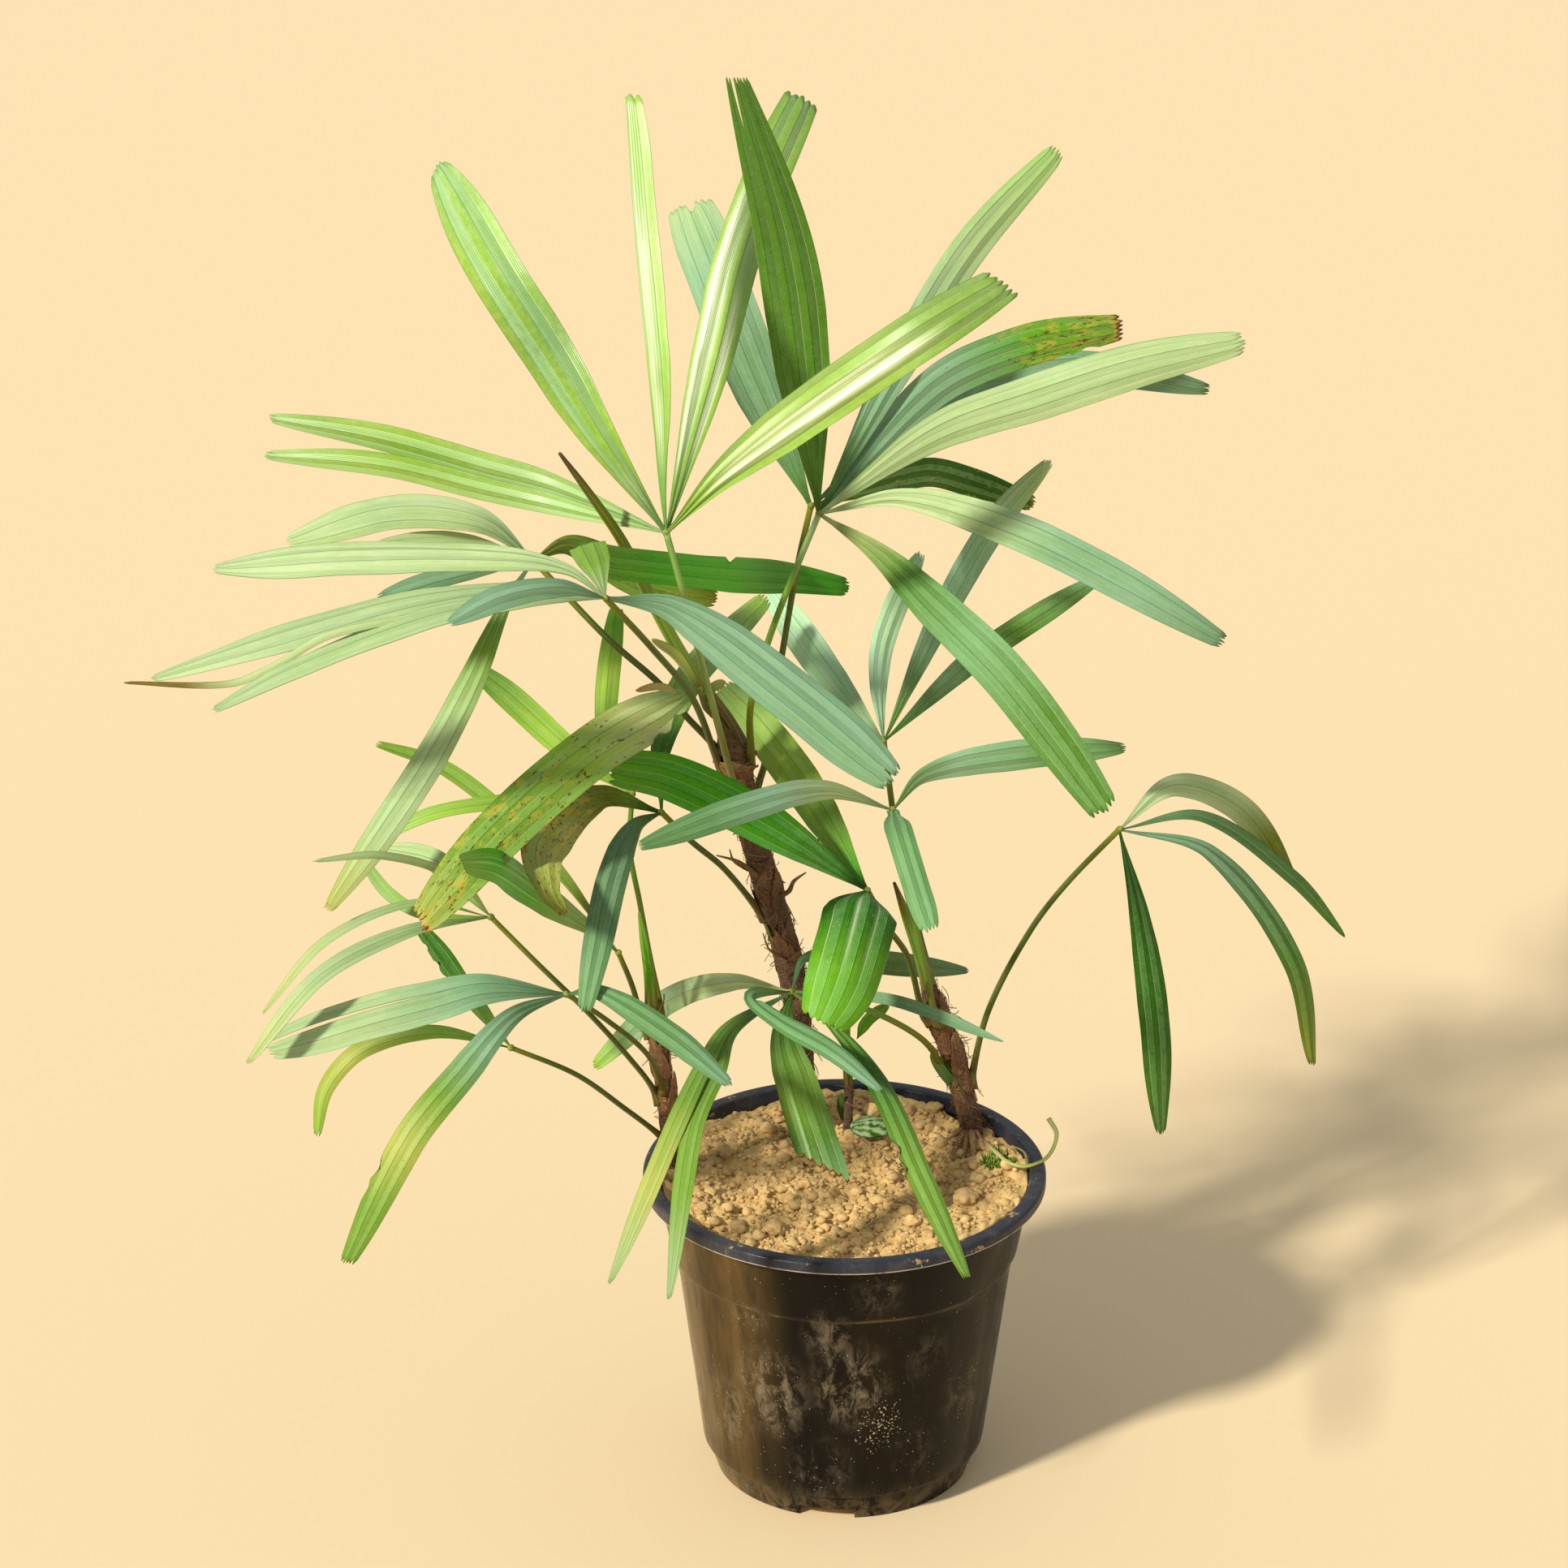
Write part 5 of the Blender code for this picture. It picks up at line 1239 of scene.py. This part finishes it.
def build_extras(leaf, fibre):
    """Small leaves, sheaths, dead stubs, roots, the seedling twig over the rim, and moss."""
    small = Piece()
    for number, (width, turn, strips, tones, path) in enumerate(SMALL_LEAVES):
        bit = dict(width=width, turn=turn, strips=strips, tones=tones.split(), path=path)
        bit.update(free=True, number=100 + number, tip=0.3, broad=0.4, teeth=1.5, round=2, spots=0.4)
        add_blade(small, bit)
    add_round_leaf(small, on_soil(1073, 1383, 0.0085))
    small.finish("small_leaves", leaf, "leaf_k")

    dead = Piece()
    for number, sheath in enumerate(SHEATHS):
        add_sheath(dead, number, *sheath)
    stem = stem_line("main_stem")
    for row, path, radii in STUBS:
        start = stem[seen_in_row(stem, row), :3]
        add_strand(dead, [start] + [seen_at(*point) for point in path], radii, "bark umber tan")
    root = [on_soil(across, down, above * MM) for across, down, above in PALE_ROOT]
    add_strand(dead, root, (0.7, 1.0, 1.1, 1.4), "tan cream tan")
    foot = stem_line("right_stem")[14, :3]
    for number, (across, down, radius) in enumerate(ROOT_KNOBS):
        tip = on_soil(across, down, -0.002)
        bend = (foot + tip) / 2.0 + (0.0, 0.0, 0.0035)
        add_strand(dead, [foot, bend, tip], (radius, radius * 0.8, radius * 0.5), "rust tan tan",
                   number=70 + number)
    dead.finish("sheaths_and_stubs", fibre, "stem_fibre")

    twig = Piece()
    rim = POT_HEIGHT + 0.0016
    path = [on_soil(across, down, above * MM) for across, down, above in TWIG_ON_SOIL]
    path += [seen_on(across, down, rim + above * MM) for across, down, above in TWIG_OVER_RIM]
    fork = [path[3]] + [seen_on(across, down, rim + above * MM) for across, down, above in TWIG_FORK]
    add_strand(twig, path, (1.0, 1.5, 1.4, 1.3, 1.2, 1.3, 1.7), "tan cream straw cream", number=61)
    add_strand(twig, fork, (1.0, 0.8, 0.4), "tan cream", number=62)
    rng = np.random.default_rng(MOSS_SEED)
    heart = on_soil(*MOSS_SEEN)
    for _ in range(MOSS_COUNT):
        turn, reach = rng.uniform(0.0, 2.0 * math.pi), MOSS_REACH * math.sqrt(rng.uniform(0.0, 1.0))
        x, y = heart[:2] + (reach * math.cos(turn), reach * math.sin(turn))
        foot = np.array((x, y, soil_at(x, y)))
        lean = rng.normal(0.0, 0.0016, 3)
        tip = foot + lean + (0.0, 0.0, rng.uniform(0.002, 0.0045))
        tone = np.array(TONES["leaf"][0]) * rng.uniform(0.5, 1.2)
        add_tube(twig, (foot, (foot + tip) / 2.0 + lean * 0.3, tip), (0.0005, 0.0004, 0.0002), 4, tone)
    twig.finish("twig_and_moss", leaf, "leaf_k")


# Half the round leaf's width and depth, in metres
ROUND_LEAF_WIDE = 0.0135
ROUND_LEAF_DEEP = 0.0125


def add_round_leaf(piece, spot):
    """Adds the round mottled leaf that lies on the soil by the small stem."""
    rows, columns = 14, 41
    reach = np.linspace(0.02, 1.0, rows)[:, None]
    turn = circle(columns, joined=True)[None, :]
    x = ROUND_LEAF_WIDE * reach * np.cos(turn)
    y = ROUND_LEAF_DEEP * reach * np.sin(turn)
    z = -0.0030 * reach**2 + 0.0004 * np.cos(turn * 4.0) * reach + 0.12 * y
    top = spot + layered(x, y, z)
    shell = np.concatenate((top, top - (0.0, 0.0, 0.0005)))
    stripe = np.abs(((np.arctan2(y, x + 0.02) * 3.5) % 1.0) - 0.5) * 2.0
    stripe = stripe + 0.5 * value_noise(layered(x, y, 0.0), 450.0, 3)
    stripe = np.clip(stripe * 2.6 - 0.9, 0.0, 1.0)[..., None]
    tint = np.array(TONES["bottle"][0]) * (1.0 - stripe) + np.array(TONES["mint"][0]) * stripe
    grain = layered(reach * 2.0, 0.004 * turn, 0.0)
    piece.add(shell, shell_faces(rows, columns), np.concatenate((tint, tint)), (0.3, 0.0, 0.0),
              np.concatenate((grain, grain)))


# The pot and its soil
POT_HEIGHT = 0.211
RIM_RADIUS = 0.130
INNER_RIM = 0.1200
POT_SEGMENTS = 288
NOTCHES = 4
NOTCH_TURN = -98.0
NOTCH_REACH, NOTCH_LEVEL = 0.085, 0.003
NOTCH_SIZE = (0.040, 0.036, 0.010)
COLLAR_EDGE = 0.1595
POT_TINT = (0.02, 0.017, 0.013)
PLASTIC_DARK = (0.0035, 0.0028, 0.0021)
PLASTIC_WORN = (0.034, 0.021, 0.008)

# Marks on the pot: turn about its axis in degrees, height, size, smear and dust. The body's radius
# is SCUFF_RADIUS at its foot and grows with height by BODY_SLOPE
SCUFF_RADIUS = 0.091
BODY_SLOPE = 0.11
SCUFF_SQUASH = 0.75
SCUFFS = (
    (-88, 0.110, 0.032, 1.0, 0.0), (-77, 0.076, 0.024, 0.0, 1.3), (-118, 0.098, 0.034, 0.9, 0.4),
    (-96, 0.148, 0.022, 0.6, 0.3), (-100, 0.040, 0.028, 0.3, 0.3), (-62, 0.050, 0.022, 0.3, 0.4),
    (-140, 0.070, 0.030, 0.7, 0.2), (-60, 0.125, 0.020, 0.3, 0.0), (-40, 0.085, 0.026, 0.4, 0.5),
    (-125, 0.150, 0.020, 0.4, 0.4), (-80, 0.185, 0.022, 0.5, 0.2), (10, 0.120, 0.030, 0.8, 0.2),
    (60, 0.080, 0.028, 0.6, 0.8), (110, 0.130, 0.030, 0.9, 0.0), (165, 0.095, 0.032, 0.8, 0.5),
    (40, 0.040, 0.024, 0.5, 0.3), (135, 0.050, 0.026, 0.5, 0.6),
)


def arc(middle_r, middle_z, radius, start, stop, count):
    """Points of an arc in the pot's section, in degrees from +R towards +Z."""
    angles = np.radians(np.linspace(start, stop, count))
    return [(middle_r + radius * math.cos(a), middle_z + radius * math.sin(a)) for a in angles]


def straight(start, stop, shares):
    """Points between two corners of the section, at the given shares of the way."""
    return [tuple(a + (b - a) * share for a, b in zip(start, stop)) for share in shares]


def pot_section():
    """The pot's section, up the inside and down the outside, as (radius, height) rows."""
    rim_low = POT_HEIGHT - 0.0076
    collar_low = rim_low - 0.003
    section = [(0.0, 0.0025), (0.0784, 0.0025), (0.0814, 0.0055), (0.0864, 0.0185), (0.0899, 0.0205)]
    section += straight((0.0899, 0.0205), (0.1076, 0.1572), np.linspace(0.1, 0.9, 9))
    section += [(0.1076, 0.1572), (0.1104, 0.160), (0.1144, 0.182), (0.1184, rim_low)]
    section += arc(INNER_RIM + 0.0016, POT_HEIGHT - 0.0016, 0.0016, 180, 90, 6)
    section += [(0.1250, POT_HEIGHT)]
    section += arc(RIM_RADIUS - 0.0022, POT_HEIGHT - 0.0022, 0.0022, 90, 0, 8)
    section += arc(RIM_RADIUS - 0.0008, rim_low + 0.0008, 0.0008, 0, -90, 5)
    section += [(0.1225, rim_low), (0.1207, rim_low - 0.0006), (0.1203, collar_low)]
    section += straight((0.1203, collar_low), (0.1127, 0.1615), np.linspace(0.1, 0.9, 9))
    section += [(0.1127, 0.1615), (0.1124, 0.1602), (0.1116, 0.1592), (0.1099, 0.1580), (0.1095, 0.1568)]
    section += straight((0.1095, 0.1568), (0.0922, 0.0215), np.linspace(0.06, 0.94, 16))
    section += [(0.0922, 0.0215), (0.0919, 0.0203), (0.0908, 0.0195), (0.0889, 0.0189), (0.0883, 0.0177)]
    section += straight((0.0883, 0.0177), (0.0849, 0.0042), (0.3, 0.6, 0.9))
    section += arc(0.0835 - 0.0012, 0.0016, 0.0016, 20, -90, 6)
    section += [(0.0700, 0.0), (0.0, 0.0)]
    return section


def build_pot(material):
    """A fine turned pot with soft dents, a wavy collar edge and drain notches."""
    section = np.array(pot_section())
    turn = circle(POT_SEGMENTS)
    radius, height = section[1:-1, 0][:, None], section[1:-1, 1][:, None]
    outer = np.arange(1, len(section) - 1)[:, None] > np.argmax(section[:, 0]) - 8
    flute = (0.30 * np.sin(7.0 * turn + 0.8) + 0.22 * np.sin(12.0 * turn + 2.0)
             + 0.16 * np.sin(19.0 * turn))
    body = np.clip((height - 0.02) / 0.04, 0.0, 1.0) * np.clip((0.158 - height) / 0.02, 0.0, 1.0)
    radius = radius + MM * flute[None] * body * outer
    edge = np.exp(-(((height - COLLAR_EDGE) / 0.006) ** 2))
    wave = (0.0011 * np.sin(3.0 * turn + 1.1) + 0.0008 * np.sin(8.0 * turn)
            + 0.0005 * np.sin(17.0 * turn + 0.5))
    height = height + wave[None] * edge
    points = layered(radius * np.cos(turn), radius * np.sin(turn), height)
    ends = (0.0, 0.0, section[0, 1]), (0.0, 0.0, section[-1, 1])
    piece = Piece()
    piece.add(np.vstack((points.reshape(-1, 3), *ends)), tube_faces(len(section) - 2, POT_SEGMENTS),
              POT_TINT)
    pot = piece.finish("nursery_pot", material, "pot_plastic", "pot")
    cutters = []
    for number in range(NOTCHES):
        bpy.ops.mesh.primitive_cube_add(size=1.0)
        cutter = bpy.context.object
        degrees = NOTCH_TURN + 360.0 / NOTCHES * number
        cutter.location = compass(degrees) * NOTCH_REACH + (0.0, 0.0, NOTCH_LEVEL)
        cutter.rotation_euler[2] = math.radians(degrees)
        cutter.scale = NOTCH_SIZE
        cutters.append(cutter)
        cut = pot.modifiers.new(f"notch_{number}", "BOOLEAN")
        cut.operation = "DIFFERENCE"
        cut.object = cutter
    depsgraph = bpy.context.evaluated_depsgraph_get()
    mesh = bpy.data.meshes.new_from_object(pot.evaluated_get(depsgraph))
    pot.modifiers.clear()
    pot.data = mesh
    for cutter in cutters:
        bpy.data.objects.remove(cutter, do_unlink=True)


# The soil's surface: its reach in metres, the rings and segments of its grid, and the radius and
# height of each ring of its side
SOIL_REACH = 0.1182
SOIL_RINGS = 150
SOIL_SEGMENTS = 396
SOIL_SIDE = (
    (0.1164, 0.190), (0.1136, 0.182), (0.1098, 0.163), (0.1068, 0.158), (0.0890, 0.021),
    (0.0800, 0.006),
)
SAND = (0.62, 0.415, 0.155)
CRUMB_SAND = np.array((0.64, 0.43, 0.17))


def soil_height(x, y):
    """Height of the soil's surface: gentle heaps, clods and crumbs."""
    flat = np.stack((x, y, np.zeros_like(x)), axis=-1)
    reach = np.hypot(x, y)
    heaps = 0.0042 * fractal(flat, 18.0, 3, 5)
    lumps = np.abs(fractal(flat, 48.0, 3, 9))
    crumbs = np.abs(fractal(flat, 240.0, 2, 13))
    bank = 0.0040 * np.clip((reach - 0.070) / 0.045, 0.0, 1.0)
    right = np.maximum(np.cos(np.arctan2(y, x) + 0.35), 0.0) ** 2
    bank = bank + 0.0042 * right * np.clip((reach - 0.080) / 0.036, 0.0, 1.0)
    return SOIL_LEVEL + heaps + 0.0060 * (0.5 - lumps) + 0.0016 * (0.5 - crumbs) + bank


def soil_at(x, y):
    """Height of the soil at one place."""
    return float(soil_height(np.array([x]), np.array([y]))[0])


def on_disc(rng, radius):
    """A place drawn evenly over a disc."""
    reach = radius * math.sqrt(rng.uniform(0.0, 1.0))
    turn = rng.uniform(0.0, 2.0 * math.pi)
    return np.array((reach * math.cos(turn), reach * math.sin(turn)))


def build_soil(material):
    """The soil's uneven top and its sides inside the pot, with loose crumbs on it."""
    reach = SOIL_REACH * np.linspace(0.0, 1.0, SOIL_RINGS)[1:, None] ** 0.9
    turn = circle(SOIL_SEGMENTS)[None]
    x, y = reach * np.cos(turn), reach * np.sin(turn)
    rings = [layered(x, y, soil_height(x, y))]
    rings += [layered(reach * np.cos(turn), reach * np.sin(turn), height) for reach, height in SOIL_SIDE]
    points = np.concatenate(rings)
    ends = (0.0, 0.0, soil_at(0.0, 0.0)), (0.0, 0.0, 0.005)
    soil = Piece()
    soil.add(np.vstack((points.reshape(-1, 3), *ends)), tube_faces(len(points), SOIL_SEGMENTS), SAND)
    soil.finish("soil_surface", material, "sandy_soil", "soil")
    add_crumbs(material)


# Clods seen on the soil: across and down in pixels, and radius in metres; then the unseen ones,
# placed by x and y
CLODS = (
    (953, 1511, 0.0082), (1190, 1480, 0.0088), (1123, 1512, 0.0052), (971, 1472, 0.0048),
    (1203, 1455, 0.0042), (926, 1463, 0.0036), (994, 1482, 0.0036), (1209, 1500, 0.0040),
    (1058, 1478, 0.0034), (1150, 1368, 0.0060),
)
MORE_CLODS = (
    (-0.078, 0.03, 0.0055), (0.02, 0.09, 0.006), (0.05, 0.03, 0.005), (-0.05, 0.07, 0.005),
)

# Loose crumbs: how many of each kind lie on the soil, how far out they go, and how many shapes
# each kind has
SMALL_CRUMBS, SMALL_REACH = 2600, 0.113
MIDDLE_CRUMBS, MIDDLE_REACH = 320, 0.110
CRUMB_SHAPES = 6
CRUMB_SEED = 11


def lumpy_ball(level, seed):
    """Points and faces of a small uneven ball of radius one."""
    shape = bpy.data.meshes.new("ball")
    ball = bmesh.new()
    bmesh.ops.create_icosphere(ball, subdivisions=level, radius=1.0)
    ball.to_mesh(shape)
    ball.free()
    points = np.array([vertex.co for vertex in shape.vertices])
    faces = [list(face.vertices) for face in shape.polygons]
    bpy.data.meshes.remove(shape)
    lift = 1.0 + 0.28 * fractal(points + seed * 7.0, 1.3, 2, seed)
    lift = lift + 0.10 * value_noise(points, 4.0, seed)
    return points * lift[:, None], faces


def add_crumbs(material):
    """Loose crumbs and clods strewn over the soil."""
    rng = np.random.default_rng(CRUMB_SEED)
    small, middle, large = [[lumpy_ball(level, seed + number) for number in range(CRUMB_SHAPES)]
                            for level, seed in ((1, 0), (2, 20), (4, 10))]
    crumbs = Piece()
    for _ in range(SMALL_CRUMBS):
        place = on_disc(rng, SMALL_REACH)
        size = 0.0008 + 0.0016 * rng.uniform(0.0, 1.0) ** 2
        place_ball(crumbs, small[int(rng.integers(CRUMB_SHAPES))], place, size, rng)
    for _ in range(MIDDLE_CRUMBS):
        place = on_disc(rng, MIDDLE_REACH)
        ball = middle[int(rng.integers(CRUMB_SHAPES))]
        size = 0.0020 + 0.0030 * rng.uniform(0.0, 1.0) ** 2
        place_ball(crumbs, ball, place, size, rng)
    clods = [(*seen_on(across, down, SOIL_LEVEL + 0.004)[:2], size) for across, down, size in CLODS]
    for x, y, size in (*clods, *MORE_CLODS):
        place_ball(crumbs, large[int(rng.integers(CRUMB_SHAPES))], (x, y), size, rng)
    crumbs.finish("soil_crumbs", material, "sandy_soil")


def place_ball(piece, ball, place, size, rng):
    """Adds a lump resting on the soil, turned at random."""
    points, faces = ball
    turn = rng.uniform(0.0, 2.0 * math.pi)
    x = points[:, 0] * math.cos(turn) - points[:, 1] * math.sin(turn)
    y = points[:, 0] * math.sin(turn) + points[:, 1] * math.cos(turn)
    lump = layered(x, y, points[:, 2] * rng.uniform(0.6, 0.9)) * size
    lump = lump + (*place, soil_at(*place) + size * 0.30)
    piece.add(lump, faces, CRUMB_SAND * rng.uniform(0.80, 1.12))


# The stage: the floor, the sun and the sky
FLOOR_TONE = (0.72, 0.56, 0.33)
SUN_TONE = (1.0, 0.96, 0.88)
SUN_STRENGTH = 4.5
SUN_WIDTH = math.radians(5.0)
SKY_TONE = (0.92, 0.94, 0.96, 1.0)
SKY_STRENGTH = 0.58
SENSOR_WIDTH = 36.0


def build_stage():
    """A plain pale floor, soft light from the left, and the camera at the photograph's place."""
    bpy.ops.mesh.primitive_plane_add(size=40.0, location=(0.0, 0.0, 0.0))
    floor = bpy.context.object
    floor.name = "floor"
    floor.data.materials.append(plain_material("floor", FLOOR_TONE, 0.9))

    sun = bpy.data.lights.new("key", "SUN")
    sun.energy = SUN_STRENGTH
    sun.angle = SUN_WIDTH
    sun.color = SUN_TONE
    key = bpy.data.objects.new("key", sun)
    key.rotation_euler = Vector(TOWARDS_LIGHT).to_track_quat("Z", "Y").to_euler()
    bpy.context.scene.collection.objects.link(key)

    world = bpy.data.worlds.new("world")
    world.use_nodes = True
    sky = world.node_tree.nodes["Background"].inputs
    sky["Color"].default_value = SKY_TONE
    sky["Strength"].default_value = SKY_STRENGTH
    bpy.context.scene.world = world

    camera = bpy.data.cameras.new("camera")
    camera.sensor_width = SENSOR_WIDTH
    camera.lens = FOCAL / FRAME_PIXELS * camera.sensor_width
    viewer = bpy.data.objects.new("camera", camera)
    viewer.location = EYE
    viewer.rotation_euler = (math.pi / 2.0 - PITCH, 0.0, 0.0)
    bpy.context.scene.collection.objects.link(viewer)
    bpy.context.scene.camera = viewer
    bpy.context.scene.view_settings.view_transform = "Standard"


waxy = leaf_material("waxy_leaf", 0.55, 0.25)
satin = leaf_material("satin_leaf", 0.09, 0.0)
fibre = fibre_material()
build_fronds(waxy, satin)
build_stems(satin, fibre)
build_extras(satin, fibre)
build_pot(pot_material())
build_soil(soil_material())
build_stage()
